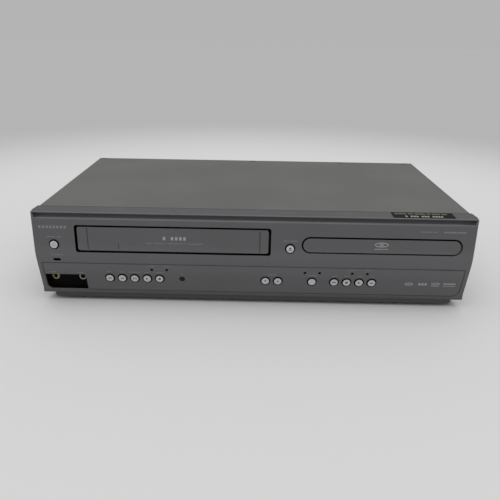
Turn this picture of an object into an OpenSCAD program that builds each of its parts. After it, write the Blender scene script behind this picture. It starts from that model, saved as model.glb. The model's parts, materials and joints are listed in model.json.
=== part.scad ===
// Disc and cassette combination player with a sliding disc tray, a cassette
// carriage, a turning head drum and sprung push buttons.
// Millimetres. +Z is up, the front faces -Y, the origin is under the middle.

/* [Housing] */
// Full width, across the front panel
body_w = 438.4; // [430:0.2:450]
// Full depth, from the boldest line of the panel to the ends of the rear jacks
body_d = 240; // [236:1:262]
// Full height, from the feet to the top of the cover
body_h = 100.5; // [98:0.5:106]
// How far the cover's sides stand in from the ends of the panel
cover_inset = 3; // [2:0.5:4]
// Thickness of the steel sheets
sheet_t = 0.8; // [0.6:0.1:1]
// How far the jacks stand out behind the cover
jack_out = 4.7; // [4:0.1:7]
// Height of the feet
foot_h = 3.7; // [2.5:0.1:4]
// Radius of the feet
foot_r = 8; // [6:0.5:10]
// Floor thickness of the bottom chassis
floor_t = 2; // [1.5:0.1:3]
// Height of the chassis side walls above its floor
pan_rise = 9.5; // [7:0.5:12]
// Step from each panel end to the strip under the panel
strip_inset = 11.5; // [9:0.5:14]
// Corner radius at the bottom of the strip
strip_corner = 4; // [2:0.5:5]
// Radius of the supporting posts
post_r = 4; // [3.5:0.1:4.5]
// Number of vent slots in each side of the cover
vent_count = 9; // [5:1:12]
// Pitch of the vent slots
vent_pitch = 7; // [6:0.5:8]
// Width of a vent slot
vent_w = 2.6; // [2:0.1:3.4]
// Length of a vent slot
vent_l = 26; // [20:1:34]
// Width of the four notches at the rear edge of the cover
notch_w = 6.5; // [5:0.5:8]
// Depth of those notches
notch_l = 3.4; // [2.5:0.1:4.5]
// Head radius of the screws
screw_head_r = 3.4; // [2.8:0.1:4]
// Shank radius of the screws
screw_r = 1.5; // [1.2:0.1:1.8]
// Shank length of the screws
screw_l = 5; // [4:0.5:6]

/* [Front panel] */
// Depth of the panel along the top
panel_d = 20.3; // [19:0.1:23]
// Wall thickness of the panel
panel_wall = 2.5; // [2.2:0.1:2.8]
// Height of the panel's lower edge
panel_bottom = 9.5; // [9:0.1:10.5]
// From the top down to where the bulged face stands out furthest
bulge_drop = 42; // [40.5:0.5:43.5]
// Radius of the bulge
bulge_r = 55; // [45:1:65]
// Lean of the face above the bulge, in degrees
up_tilt = 4.65; // [4:0.05:5.5]
// Tuck of the face below the bulge, in degrees
low_tilt = 9.97; // [9:0.1:11]
// Fall of the brow from its rear edge to its front
brow_drop = 0.8; // [0.6:0.1:1.2]
// Rounding of the brow's front edge
brow_r = 0.7; // [0.4:0.1:1]
// Radius of the cove under the brow
cove_r = 4.8; // [4.4:0.1:5.2]
// Depth of the brow's front edge below the top
brow_lip = 1.6; // [1.5:0.1:2.2]
// Step from each panel end to the low end of the cove
cove_inset = 4; // [3:0.5:6]
// Step by which the cove is longer at its top, at each end
cove_flare = 2; // [1:0.5:2]
// Rounding of the panel's upright front edges
panel_edge_r = 0.8; // [0.6:0.1:2]
// Narrowing of each panel end towards the cover
end_taper = 1.6; // [0:0.1:1.8]
// Width of the groove around the lower panel
groove_w = 1; // [0.8:0.1:1.3]
// Depth of that groove
groove_depth = 0.9; // [0.6:0.1:1.2]
// Step from each panel end to the groove
groove_inset = 4.9; // [4.4:0.1:5.4]
// Top of the groove
groove_top = 46.7; // [46:0.1:47.4]
// Bottom of the groove
groove_bottom = 13.4; // [13:0.1:13.8]
// Radius of the groove's lower corners
groove_r = 9; // [7:0.5:10]
// Width of the two upright lines on the cassette flap
line_w = 0.6; // [0.4:0.1:0.9]
// Depth of those lines
line_depth = 0.5; // [0.3:0.1:0.8]

/* [Cassette slot] */
// Middle of the cassette slot, as a share of the width from the left
tape_share = 0.3178; // [0.315:0.0002:0.32]
// Width of the opening
slot_w = 194.4; // [193.6:0.2:195]
// Height of the opening
slot_h = 28; // [27.6:0.1:28.2]
// From the top down to the lower edge of the opening
slot_drop = 41.7; // [41.5:0.1:42]
// Corner radius of the opening
slot_r = 2.4; // [1.6:0.1:3]
// Gap around the flap
flap_gap = 1.8; // [1.4:0.1:2]
// Thickness of the flap
flap_t = 2; // [1.6:0.1:2.2]
// How far the flap lies back from the panel's face
flap_sink = 0.5; // [0.3:0.1:0.8]
// Radius of the hinge pins
flap_pin_r = 1.5; // [1.3:0.1:1.6]
// Running clearance of every pin in its bore
run_gap = 0.05; // [0.03:0.01:0.08]

/* [Disc slot] */
// Middle of the disc tray, as a share of the width from the right
disc_share = 0.2099; // [0.209:0.0001:0.211]
// Width of the tray bezel
bezel_w = 155.8; // [154:0.2:158]
// Height of the tray bezel
bezel_h = 14.3; // [14:0.1:15]
// From the top down to the lower edge of the tray bezel
bezel_drop = 37.1; // [36.8:0.1:37.6]
// Gap around the bezel
bezel_gap = 1.5; // [1.2:0.1:1.7]

/* [Buttons and windows] */
// Diameter of a button
button_d = 8.2; // [7.6:0.1:8.6]
// Gap around a button
button_gap = 0.9; // [0.6:0.05:1]
// How far a button stands out of the panel
button_proud = 0.9; // [0.5:0.1:1.4]
// Travel of a button
button_travel = 0.8; // [0.6:0.05:0.9]
// Pitch of the buttons in a row
button_pitch = 12.8; // [12:0.1:13.2]
// Height of the lower button row
row_z = 29; // [28.4:0.1:29.6]
// From the top down to the middle of the two upper buttons
upper_drop = 33.8; // [33.1:0.1:34.5]
// From the left end of the panel to the power button
power_inset = 20.9; // [20:0.1:21.6]
// Place of the tray button between the slot and the bezel, as a share
tray_button_share = 0.6; // [0.55:0.005:0.65]
// Diameter of an indicator window
led_d = 2.8; // [2.4:0.1:3.2]
// Height of the indicator windows
led_z = 39.5; // [39:0.1:40]
// Diameter of the remote receiver window
ir_d = 5.8; // [5:0.1:6.4]
// Width of the standby window
standby_w = 7.7; // [7:0.1:8.4]
// Height of the standby window
standby_h = 3; // [2.6:0.1:3.4]
// Height of the middle of the standby window
standby_z = 50.1; // [49.8:0.1:50.6]

/* [Front jacks] */
// From the panel's left end to the recess
recess_inset = 5.7; // [5.5:0.1:6]
// Width of the recess
recess_w = 42; // [41:0.5:42.5]
// Lower edge of the recess
recess_z = 14.2; // [14:0.1:14.6]
// Height of the recess
recess_h = 18; // [17.6:0.1:18.4]
// Radius of the recess's lower outer corner
recess_r = 7; // [5:0.5:8]
// Depth of the recess behind the panel's boldest line
recess_d = 14; // [13:0.5:15]
// Outer radius of a jack
jack_r = 3.9; // [3.6:0.1:4.1]
// Radius of the socket in a jack
jack_bore_r = 1.6; // [1.5:0.1:1.8]
// Height of the front jacks
jack_z = 27.5; // [26.8:0.1:27.8]
// How far the front jacks stand out of the back of the recess
jack_proud = 3; // [2:0.2:4]

/* [Cassette deck] */
// Width of the tape cassette
cassette_w = 188; // [187.5:0.1:188.2]
// Height of the tape cassette
cassette_h = 25; // [24.8:0.1:25.1]
// Thickness of the deck plate
deck_t = 1.2; // [1:0.1:1.6]
// From the opening's lower edge down to the deck plate's top
deck_drop = 27.8; // [27:0.1:28.4]
// Length of the cassette holder
holder_l = 68; // [66:1:70]
// Sheet thickness of the holder, the sliders and the brackets
carriage_t = 1; // [0.8:0.1:1.2]
// Radius of the carriage pins
carriage_pin_r = 2; // [1.8:0.1:2.2]
// Travel of the carriage into the machine
carriage_in = 36; // [34:1:37]
// Travel of the holder down onto the reels
carriage_down = 22; // [20:0.5:22.5]
// Radius of the head drum
drum_r = 31; // [30:0.1:31.4]
// Height of the whole drum
drum_h = 35; // [33:0.5:36]
// Lean of the drum, in degrees
drum_tilt = 4; // [3:0.5:5]
// Distance between the two reels
reel_pitch = 92; // [90:0.5:94]
// Number of teeth on a reel
reel_teeth = 40; // [36:1:42]
// Radius of the capstan shaft
capstan_r = 2; // [1.8:0.1:2.2]
// Radius of the capstan's flywheel
flywheel_r = 22; // [20:0.5:24]
// Radius of the pinch roller
roller_r = 6.5; // [6:0.1:7]
// Swing of the pinch arm, in degrees
pinch_swing = 40; // [36:1:42]
// Travel of a threading guide
guide_run = 53; // [50:0.5:54]
// Slant of the guides' tracks from straight back, in degrees
guide_slant = 13; // [12:0.5:14]

/* [Disc drive] */
// Radius of the disc recess in the tray
disc_r = 60.8; // [60.4:0.1:61.2]
// Half width of the tray between its side flanges
tray_half = 66; // [65:0.5:66.5]
// Length of the tray, as a share of the full depth
tray_share = 0.6833; // [0.66:0.001:0.7]
// Width of the tray's middle slot
tray_slot_w = 44; // [42:0.5:46]
// Wall thickness of the loader frame
frame_t = 2; // [1.6:0.1:2.4]
// Module of the gears
gear_m = 1; // [0.9:0.05:1.05]
// Teeth on the tray gear
tray_teeth = 20; // [18:1:21]
// Radius of the belt pulley on the tray gear
pulley_r = 16; // [14:0.5:17]
// Radius of the motor pulley
motor_pulley_r = 4; // [3.5:0.5:5]
// Thickness of the rubber belts
belt_t = 1.2; // [1:0.1:1.4]
// Travel of the laser pickup
pickup_travel = 34; // [32:0.5:34.5]
// Radius of the guide rods and of the lead screw
rod_r = 1.5; // [1.3:0.1:1.6]

/* [Hidden] */

$fn = 48;
eps = 0.01;      // sink of one form into the next
over = 1;        // overshoot of a cut past a face
far = 500;       // reach of a cut that passes right through
touch = 0.3;     // gap between bodies that pass each other
PANEL = [0.33, 0.34, 0.35];
COVER = [0.4, 0.4, 0.39];
DARK = [0.1, 0.1, 0.11];
STEEL = [0.7, 0.71, 0.72];
BUTTON = [0.72, 0.73, 0.74];
BOARD = [0.16, 0.36, 0.2];
NYLON = [0.86, 0.86, 0.82];

// Planes that the housing shares. The upper buttons stand out furthest in front.
bulge_z = body_h - bulge_drop;
slot_z = body_h - slot_drop;
bezel_z = body_h - bezel_drop;
upper_z = body_h - upper_drop;
face_proud = button_proud - bulge_r
    + sqrt(pow(bulge_r, 2) - pow(upper_z - button_d / 2 - bulge_z, 2));
front_y = -body_d / 2 + face_proud;
rear_y = body_d / 2 - jack_out;
seam_y = front_y + panel_d;
cover_half = body_w / 2 - cover_inset;
wall_half = cover_half - sheet_t;
back_in = rear_y - 2 * sheet_t;
back_out = rear_y - sheet_t;
floor_z = foot_h + floor_t;
roof_z = body_h - sheet_t;
strip_half = body_w / 2 - strip_inset;
strip_y = front_y + 9.5;
strip_t = 2;
cover_low = foot_h + 1.6;
screw_x = [-0.78, 0, 0.78] * cover_half;
screw_z = body_h - 6;
side_screw_y = [seam_y + 60, rear_y - 30];
side_screw_z = foot_h + pan_rise - 3;
foot_x = cover_half - 26;
foot_y = [seam_y + 14, rear_y - 22];
notch_x = [-0.963, -0.017, 0.535, 0.946] * cover_half;
notch_y = rear_y - 2.2 - notch_l;
vent_y = rear_y - 40;
vent_z = body_h * 0.55;
cover_edge_r = 1.2;
tab_h = 4.7;           // of the cover's rear tab
screw_head_t = 1.6;
cross_w = 1;           // of the cross in a screw head
cross_l = 4.4;
hole_gap = 0.1;        // round a screw in a plain hole
jack_ring = 1.9;       // from a coaxial jack out to the edge of its nut

// Face of the panel: its distance back at height z, for a skin w inside the face
function low_y(z, w) = front_y + bulge_r - (bulge_r - w) * cos(low_tilt)
    + tan(low_tilt) * (bulge_z - (bulge_r - w) * sin(low_tilt) - z);
function up_y(z, w) = front_y + bulge_r - (bulge_r - w) * cos(up_tilt)
    + tan(up_tilt) * (z - bulge_z - (bulge_r - w) * sin(up_tilt));
arc_steps = 8;
function bulge_points(w) = [for (i = [0 : arc_steps])
    let (a = -low_tilt + (low_tilt + up_tilt) * i / arc_steps)
    [front_y + bulge_r - (bulge_r - w) * cos(a), bulge_z + (bulge_r - w) * sin(a)]];
brow_y = front_y + 3.1;
cove_z = body_h - brow_lip;
cove_low = cove_z - cove_r;
hollow_half = body_w / 2 - panel_wall - end_taper / 2;
inner_step_z = cove_low - 2.6;
inner_back_y = brow_y + cove_r + 2;
brow_steps = 4;
function brow_points() = [for (i = [0 : brow_steps])
    let (a = 180 - 90 * i / brow_steps)
    [brow_y + brow_r + brow_r * cos(a), body_h - brow_drop - brow_r + brow_r * sin(a)]];

// Places on the panel
tape_x = (tape_share - 0.5) * body_w;
disc_x = (0.5 - disc_share) * body_w;
power_x = -body_w / 2 + power_inset;
slot_end = tape_x + slot_w / 2;
tray_button_x = slot_end + tray_button_share * (disc_x - bezel_w / 2 - slot_end);
tape_row_x = tape_x - 67;
channel_x = tray_button_x - 23.6;
source_x = disc_x - 66.6;
disc_row_x = disc_x - 43.9;
hole_y = front_y + 9;   // end of the cuts through the face
button_hole_r = button_d / 2 + button_gap;
button_lip_r = button_hole_r + 1;
led_x = [tape_x - 23.1, tape_x - 7.9, disc_x - 74.4, disc_x - 59.4, disc_x - 26.3,
    disc_x - 10.9];
ir_x = tape_x + 7.2;
standby_x = power_x + 0.7;
window_gap = 0.05;
window_sink = 0.5;

// Front board and the buttons that press it
board_t = 1.6;
board_y = front_y + 16;
board_top = 45;
board_low = 16;
button_seat_y = front_y + 8.4;
button_seat_t = 1.2;
stem_r = 2;
switch_l = 4.2;
switch_body_l = 3;
switch_w = 6;
plunger_r = 1.4;
button_end_y = board_y - switch_l - button_travel - 0.1;
upper_seat_y = up_y(upper_z + button_lip_r, panel_wall) + touch;
board_post_r = 3;
board_x0 = tape_x - 81.6;
board_x1 = disc_x + 20;
power_board_half = [8, 14];   // to the left and to the right of the power button
tray_board_half = 9;
board_rise = 8;               // of the two small boards above their buttons
tray_board_drop = 16;
board_post_list = [[board_x0 + board_post_r + touch, row_z], [tape_x + 40, row_z],
    [board_x1 - 8, row_z], [power_x + 9, upper_z - 9], [tray_button_x, upper_z - 13]];

// Recess of the front jacks
recess_x0 = -body_w / 2 + recess_inset;
recess_x1 = recess_x0 + recess_w;
recess_wall = 1.2;
jack_x = [recess_x0 + 8.6, recess_x1 - 5.3];
recess_back = front_y + recess_d;
jack_tail = 6;

// Flap
flap_x0 = tape_x - slot_w / 2 + flap_gap + 0.5;
flap_x1 = tape_x + slot_w / 2 - flap_gap - 0.5;
flap_z0 = slot_z + flap_gap;
flap_z1 = slot_z + slot_h - flap_gap;
flap_line_x = [flap_x0 + 10.2, flap_x1 - 8.6];
line_inset = 1.4;
flap_pin_y = front_y + 9.5;
flap_pin_z = slot_z + slot_h + 3.7;
flap_ear_r = flap_pin_r + 0.7;
flap_ear_t = 2.5;
flap_pin_l = 6;
boss_half = 3;
boss_y = brow_y + 1;
boss_back = 1;
boss_l = 4;
spring_wire = 0.3;
spring_r = flap_pin_r + touch + spring_wire;
spring_turns = 3;
spring_pitch = 1;
spring_steps = 18;
spring_sides = 8;
spring_x = tape_x - slot_w / 2 - boss_back + spring_wire + 0.02;

// Cassette deck
function deep(share) = front_y + share * body_d;
deck_front = deep(0.1667);
deck_rear = back_in - 12.5;
deck_top = slot_z - deck_drop;
deck_low = deck_top - deck_t;
holder_gap = 0.6;
holder_half = cassette_w / 2 + holder_gap + carriage_t;
slider_half = holder_half + 1.4 + carriage_t;
bracket_half = slider_half + 1.1 + carriage_t;
bracket_foot = 5;
deck_half = bracket_half + bracket_foot + 1.5;
deck_post_x = deck_half - 1.75 * post_r;
deck_post_y = [deck_front + 1.5 * post_r, deck_rear - 1.5 * post_r];
holder_front = deck_front + 3;
holder_z0 = slot_z - 0.4;
holder_z1 = holder_z0 + 2 * carriage_t + cassette_h + 0.8;
lip_w = 12;
pin_z = holder_z0 + 13.4;
pin_y = [holder_front + 19, holder_front + 49];
slider_y0 = holder_front + 9;
slider_y1 = holder_front + 59;
slider_z0 = pin_z - carriage_down - 5;
slider_z1 = pin_z + 17;
rail_z = pin_z + 11;
rail_y = [slider_y0 + 5, slider_y1 - 5];
bracket_y0 = holder_front + 3;
bracket_y1 = rail_y[1] + carriage_in + 8;
bracket_z1 = slider_z1 + 2;
carriage_slot_r = carriage_pin_r + 0.08;
pin_room = 2 * carriage_pin_r;
drum_y = deep(0.7833);
low_drum_h = drum_h / 2 + 1.5;
drum_shaft_r = 3;
drum_shaft_z = 5;
drum_dish = 2;
drum_window = 4;       // width of the openings for the drum's heads
reel_y = deep(0.3583);
reel_z = deck_top + 0.8;
reel_pin_r = 1.5;
reel_hub_r = 12;
spindle_h = 19.5;      // of a reel, above the deck
spindle_out_r = 4;
fin_l = 6.2;           // from the axis to the edge of a reel's fin
fin_t = 2;
gear_w = 3;            // of the reels' gears
capstan_x = tape_x + 58;
capstan_y = deep(0.5667);
capstan_top = slot_z - 1.6;
under_h = deck_low - floor_z;
belt_z = floor_z + 0.37 * under_h;
motor_h = 0.27 * under_h;
motor_t = 0.12 * under_h;
motor_plate_r = 17;
sleeve_r = 5;
belt_h = 2.5;
small_pulley_r = 10;
clutch_x = tape_x;
clutch_y = reel_y + 14;
clutch_r = 14;
clutch_teeth = 18;
clutch_shaft_r = 2;
pivot_x = tape_x + 80;
pivot_y = capstan_y + 22;
nip = roller_r + capstan_r + 0.15;
nip_x = capstan_x + 2;
nip_y = capstan_y + sqrt(nip * nip - 4);
arm_dx = nip_x - pivot_x;
arm_dy = nip_y - pivot_y;
rest_x = pivot_x + arm_dx * cos(pinch_swing) + arm_dy * sin(pinch_swing);
rest_y = pivot_y - arm_dx * sin(pinch_swing) + arm_dy * cos(pinch_swing);
arm_z = deck_top + 3;
arm_t = 2.4;
arm_r = 3.2;
pivot_h = 6;           // of the arm's sleeve above its underside
roller_l = 15.5;
axle_r = 1.2;
guide_x = 28;
guide_y = drum_y - 54;
guide_base_r = 7;
guide_pin_r = 2;
guide_base_t = 3;
guide_collar_r = 4;
guide_lean = 8;        // of the slanted post on a guide, in degrees
head_h = 15;           // of a tape head
head_z = 13;           // from the deck up to a head
head_half_l = 4;
foot_r_small = 4.5;
head_list = [[-60, -24, 9], [62, -8, 11]];          // place from the drum, and width
post_list = [[-74, -50], [-55, -6], [50, 10]];      // place of the fixed tape guides

// Disc drive
tray_y0 = front_y + 8;
tray_l = tray_share * body_d;
tray_y1 = tray_y0 + tray_l;
tray_low = bezel_z + 3;
tray_top = bezel_z + 12.5;
plate_low = bezel_z + 6.2;
recess_floor = tray_top - 3.3;
disc_y = tray_y0 + 69;
small_disc_r = disc_r * 2 / 3 + 0.6;
flange_half = tray_half + 3.6;
frame_in = flange_half + 1.2;
frame_half = frame_in + frame_t;
frame_low = bezel_z - 17;
frame_y0 = front_y + 18;
frame_y1 = tray_y1 + 10;
frame_top = tray_top + 5.5;
rail_in = tray_half + 1.2;
flange_t = 2;
guard_l = 12;
guard_y = [frame_y0 + 10, disc_y + 20, frame_y1 - 30];
gear_r = gear_m * tray_teeth / 2;
backlash = 0.14;
rack_x = disc_x - 53;
gear_x = rack_x + gear_r;
gear_y = front_y + 30;
gear_z = tray_low + 0.3;
gear_t = 2.4;
motor_x = gear_x + 43;
pulley_z = frame_low + frame_t + 3;
gear_pin_r = 2;
motor_shaft_r = 1;
motor_r = 10;
motor_l = 14;
motor_neck_r = 2.9;
pulley_t = 5;
rack_end = 4;
rack_teeth = floor((tray_l - 3.5 * rack_end) / (PI * gear_m));
clamp_z = tray_top + 0.5;
clamp_r = 15;
clamp_neck_r = 11;
bridge_t = 2;
bridge_half_l = 18;
traverse_half = 38;
traverse_y0 = disc_y - 19;
traverse_y1 = tray_y1 - 6;
traverse_z = bezel_z - 11;
traverse_t = 2;
hinge_y = tray_y1 - 1;
hinge_z = traverse_z + traverse_t / 2;
hinge_r = 2.5;
ear_x = traverse_half + 2.5;
ear_t = 4.5;
ear_half = 4;
rod_x = 24;
rod_z = traverse_z + 8;
screw_dx = 33;
spindle_r = 12;
table_r = 14.5;
table_top = recess_floor + 1;
hub_r = 7.4;
hub_h = 1.6;
table_t = 2.5;
pickup_y = disc_y + 25;
pickup_half_l = 11;
pickup_half_w = 20;
end_t = 4;             // of the walls that carry the rods
end_rim = 3;
end_y = [pickup_y - pickup_half_l - 6, pickup_y + pickup_half_l + pickup_travel + 3];
pickup_rim = 3.5;
lens_r = 2.6;

// Boards and rear connectors
main_z = floor_z + 0.137 * under_h;
main_x0 = -cover_half + screw_l + 2;
split_x = (tape_x + deck_half + disc_x - frame_half) / 2;
main_x1 = split_x - 1.5;
power_x0 = split_x + 1.5;
power_x1 = wall_half - 8.5;
rf_x0 = main_x0 + 1;
boards_y1 = back_in - strip_t - 0.5;
chip_t = 2.2;
core_h = 26;           // of the power board's transformer and heat sink
rf_w = 19;
rf_h = 50;
rf_l = 52;
rf_jack_z = [24, 46];
rear_jack_x0 = tape_x - 62;
rear_jack_pitch = 14;
rear_jack_z = [main_z + 12, main_z + 27];
rear_block_y = back_in - 11;
gland_x = disc_x + 63;
gland_z = floor_z + 20;
gland_r = 8;
gland_neck_r = 6;
gland_t = 2.4;
gland_clip_t = 3;
rf_jack_r = jack_r + 0.8;
gland_bore_r = 3.5;

// ---------------------------------------------------------------- tools
module block(x0, x1, y0, y1, z0, z1) {
    translate([x0, y0, z0]) cube([x1 - x0, y1 - y0, z1 - z0]);
}
module rod_along_x(x0, x1, y, z, r) {
    translate([x0, y, z]) rotate([0, 90, 0]) cylinder(h = x1 - x0, r = r);
}
module rod_along_y(x, y0, y1, z, r) {
    translate([x, y1, z]) rotate([90, 0, 0]) cylinder(h = y1 - y0, r = r);
}
module rod_along_z(x, y, z0, z1, r) {
    translate([x, y, z0]) cylinder(h = z1 - z0, r = r);
}
module extrude_x(x0, x1) {
    translate([x0, 0, 0]) rotate([90, 0, 90]) linear_extrude(x1 - x0) children();
}
module extrude_y(y0, y1) {
    translate([0, y1, 0]) rotate([90, 0, 0]) linear_extrude(y1 - y0) children();
}
module round_rect(x0, x1, z0, z1, r) {
    translate([x0 + r, z0]) square([x1 - x0 - 2 * r, z1 - z0]);
    translate([x0, z0 + r]) square([x1 - x0, z1 - z0 - 2 * r]);
    for (x = [x0 + r, x1 - r], z = [z0 + r, z1 - r]) translate([x, z]) circle(r);
}
// Rectangle whose two lower corners are round
module low_round_rect(x0, x1, z0, z1, corner) {
    r = min(corner, (z1 - z0) / 2);
    translate([x0 + r, z0]) square([x1 - x0 - 2 * r, z1 - z0]);
    translate([x0, z0 + r]) square([x1 - x0, z1 - z0 - r]);
    for (x = [x0 + r, x1 - r]) translate([x, z0 + r]) circle(r);
}
// Straight slot with round ends, run from its first end along the slant
module slot_2d(length, r) {
    circle(r);
    translate([0, length]) circle(r);
    translate([-r, 0]) square([2 * r, length]);
}
function involute_turn(rb, r) = let (t = sqrt(max(0, pow(r / rb, 2) - 1)) * 180 / PI) t - atan(t * PI / 180);
function flank_angle(m, teeth, r) = let (rp = m * teeth / 2, rb = rp * cos(20))
    (PI * m / 2 - backlash) / (2 * rp) * 180 / PI + involute_turn(rb, rp)
    - involute_turn(rb, max(r, rb));
function tooth_radii(m, teeth) = let (rp = m * teeth / 2) [rp - 1.25 * m, rp - 0.6 * m,
    rp - 0.2 * m, rp + 0.3 * m, rp + 0.9 * m];
module gear_2d(m, teeth) {
    radii = tooth_radii(m, teeth);
    last = len(radii) - 1;
    polygon([for (i = [0 : teeth - 1], j = [0 : 2 * last + 1])
        let (r = j <= last ? radii[j] : radii[2 * last + 1 - j])
        let (side = j <= last ? -1 : 1)
        let (a = 360 / teeth * i + side * flank_angle(m, teeth, r))
        [r * cos(a), r * sin(a)]]);
}
// Loop of flat belt around two pulleys
module belt_loop(x0, y0, r0, x1, y1, r1) {
    difference() {
        hull() {
            translate([x0, y0]) circle(r0 + belt_t, $fn = 64);
            translate([x1, y1]) circle(r1 + belt_t, $fn = 64);
        }
        hull() {
            translate([x0, y0]) circle(r0, $fn = 64);
            translate([x1, y1]) circle(r1, $fn = 64);
        }
    }
}

// ---------------------------------------------------------------- housing
module panel_profile() {
    polygon(concat([[seam_y, panel_bottom], [low_y(panel_bottom, 0), panel_bottom]],
        bulge_points(0), [[up_y(cove_low, 0), cove_low], [brow_y, cove_z]],
        brow_points(), [[seam_y, body_h]]));
}
module panel_hollow_profile() {
    w = panel_wall;
    polygon(concat([[seam_y + far, panel_bottom + w],
        [low_y(panel_bottom + w, w), panel_bottom + w]], bulge_points(w),
        [[up_y(inner_step_z, w), inner_step_z], [inner_back_y, cove_low + cove_r / 2],
        [inner_back_y, body_h - w - brow_drop], [seam_y, body_h - w], [seam_y + far, body_h - w]]));
}
// The panel's bulged skin, from depth a to depth b behind its face
module face_skin(a, b) {
    extrude_x(-body_w / 2 - over, body_w / 2 + over) difference() {
        translate([a, 0]) panel_profile();
        translate([b, 0]) panel_profile();
    }
}
module panel_plan() {
    r = panel_edge_r;
    plan_y = low_y(panel_bottom, 0) + r;
    translate([-body_w / 2 + r, front_y]) square([body_w - 2 * r, plan_y + eps - front_y]);
    polygon([[-body_w / 2, plan_y], [body_w / 2, plan_y], [body_w / 2 - end_taper, seam_y],
        [-body_w / 2 + end_taper, seam_y]]);
    for (s = [-1, 1]) translate([s * (body_w / 2 - r), plan_y]) circle(r);
}
module cove_cutter() {
    low = body_w / 2 - cove_inset;
    high = low + cove_flare;
    intersection() {
        rod_along_x(-high, high, brow_y, cove_z, cove_r);
        extrude_y(brow_y - cove_r - over, brow_y + cove_r + over) polygon([[-low, cove_low - over],
            [low, cove_low - over], [high, cove_z], [-high, cove_z]]);
    }
}
module lower_groove() {
    x = body_w / 2 - groove_inset;
    w = groove_w;
    intersection() {
        extrude_y(front_y - over, seam_y) difference() {
            low_round_rect(-x, x, groove_bottom, groove_top, groove_r);
            low_round_rect(-x + w, x - w, groove_bottom + w, groove_top - w, groove_r - w);
        }
        face_skin(-over, groove_depth);
    }
}
module button_places() {
    for (p = button_list) translate([p[0], 0, p[1]]) children();
}
button_list = [[power_x, upper_z], [tray_button_x, upper_z],
    for (i = [0 : 4]) [tape_row_x + i * button_pitch, row_z],
    for (i = [0 : 1]) [channel_x + i * button_pitch, row_z], [source_x, row_z],
    for (i = [0 : 3]) [disc_row_x + i * button_pitch, row_z]];
module recess_outline(grow) {
    translate([recess_x0 + recess_r, recess_z - grow])
        square([recess_w - recess_r + grow, recess_h + 2 * grow]);
    translate([recess_x0 - grow, recess_z + recess_r])
        square([recess_w + 2 * grow, recess_h - recess_r + grow]);
    translate([recess_x0 + recess_r, recess_z + recess_r]) circle(recess_r + grow);
}
module panel_openings() {
    extrude_y(front_y - over, hole_y) round_rect(tape_x - slot_w / 2, tape_x + slot_w / 2,
        slot_z, slot_z + slot_h, slot_r);
    g = bezel_gap;
    extrude_y(front_y - over, hole_y) round_rect(disc_x - bezel_w / 2 - g,
        disc_x + bezel_w / 2 + g, bezel_z - g, bezel_z + bezel_h + g, bezel_h / 2 + g - eps);
    button_places() rod_along_y(0, front_y - over, hole_y, 0, button_hole_r);
    for (x = led_x) rod_along_y(x, front_y - over, hole_y, led_z, led_d / 2);
    rod_along_y(ir_x, front_y - over, hole_y, row_z, ir_d / 2);
    extrude_y(front_y - over, hole_y) standby_outline(0);
    extrude_y(front_y - over, recess_back - recess_wall) recess_outline(0);
    for (x = jack_x) rod_along_y(x, front_y, recess_back + over, jack_z, jack_r + 0.2);
}
module standby_outline(shrink) {
    round_rect(standby_x - standby_w / 2 + shrink, standby_x + standby_w / 2 - shrink,
        standby_z - standby_h / 2 + shrink, standby_z + standby_h / 2 - shrink,
        standby_h / 2 - shrink - eps);
}
module flap_bosses() {
    for (s = [-1, 1]) {
        x = tape_x + s * (slot_w / 2 + boss_back);
        block(min(x, x + s * boss_l), max(x, x + s * boss_l), boss_y, flap_pin_y + boss_half,
            flap_pin_z - boss_half, flap_pin_z + boss_half);
    }
}
module board_posts() {
    for (p = board_post_list) rod_along_y(p[0], front_y + face_proud, board_y, p[1], board_post_r);
}
module front_panel() {
    color(PANEL) difference() {
        union() {
            difference() {
                intersection() {
                    extrude_x(-body_w / 2, body_w / 2) panel_profile();
                    linear_extrude(body_h + 1) panel_plan();
                }
                extrude_x(-hollow_half, hollow_half) panel_hollow_profile();
                cove_cutter();
            }
            intersection() {
                union() {
                    flap_bosses();
                    board_posts();
                    extrude_y(front_y, recess_back) recess_outline(recess_wall);
                }
                extrude_x(-body_w / 2, body_w / 2) panel_profile();
            }
        }
        panel_openings();
        lower_groove();
        for (x = [flap_x0 - flap_pin_l, flap_x1])
            rod_along_x(x, x + flap_pin_l, flap_pin_y, flap_pin_z, flap_pin_r + run_gap);
    }
}
module vent_rows() {
    for (s = [-1, 1], i = [0 : vent_count - 1])
        translate([s * cover_half, vent_y - i * vent_pitch, vent_z])
            cube([4 * sheet_t, vent_w, vent_l], center = true);
}
module top_cover() {
    r = cover_edge_r;
    color(COVER) difference() {
        extrude_y(seam_y, rear_y) difference() {
            union() {
                translate([-cover_half, cover_low]) square([2 * cover_half, body_h - r - cover_low]);
                translate([-cover_half + r, body_h - r - eps]) square([2 * cover_half - 2 * r, r + eps]);
                for (s = [-1, 1]) translate([s * (cover_half - r), body_h - r]) circle(r);
            }
            translate([-wall_half, cover_low - over]) square([2 * wall_half, roof_z - cover_low + over]);
        }
        vent_rows();
        for (x = notch_x) block(x - notch_w / 2, x + notch_w / 2, notch_y, notch_y + notch_l,
            roof_z - over, body_h + over);
        for (s = [-1, 1], y = side_screw_y) rod_along_x(min(0, s * far), max(0, s * far), y,
            side_screw_z, screw_r + hole_gap);
    }
    color(COVER) difference() {
        block(-wall_half, wall_half, back_out, rear_y, roof_z - 2 * tab_h, roof_z);
        for (x = screw_x) rod_along_y(x, back_in, rear_y + over, screw_z, screw_r + hole_gap);
    }
}
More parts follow.
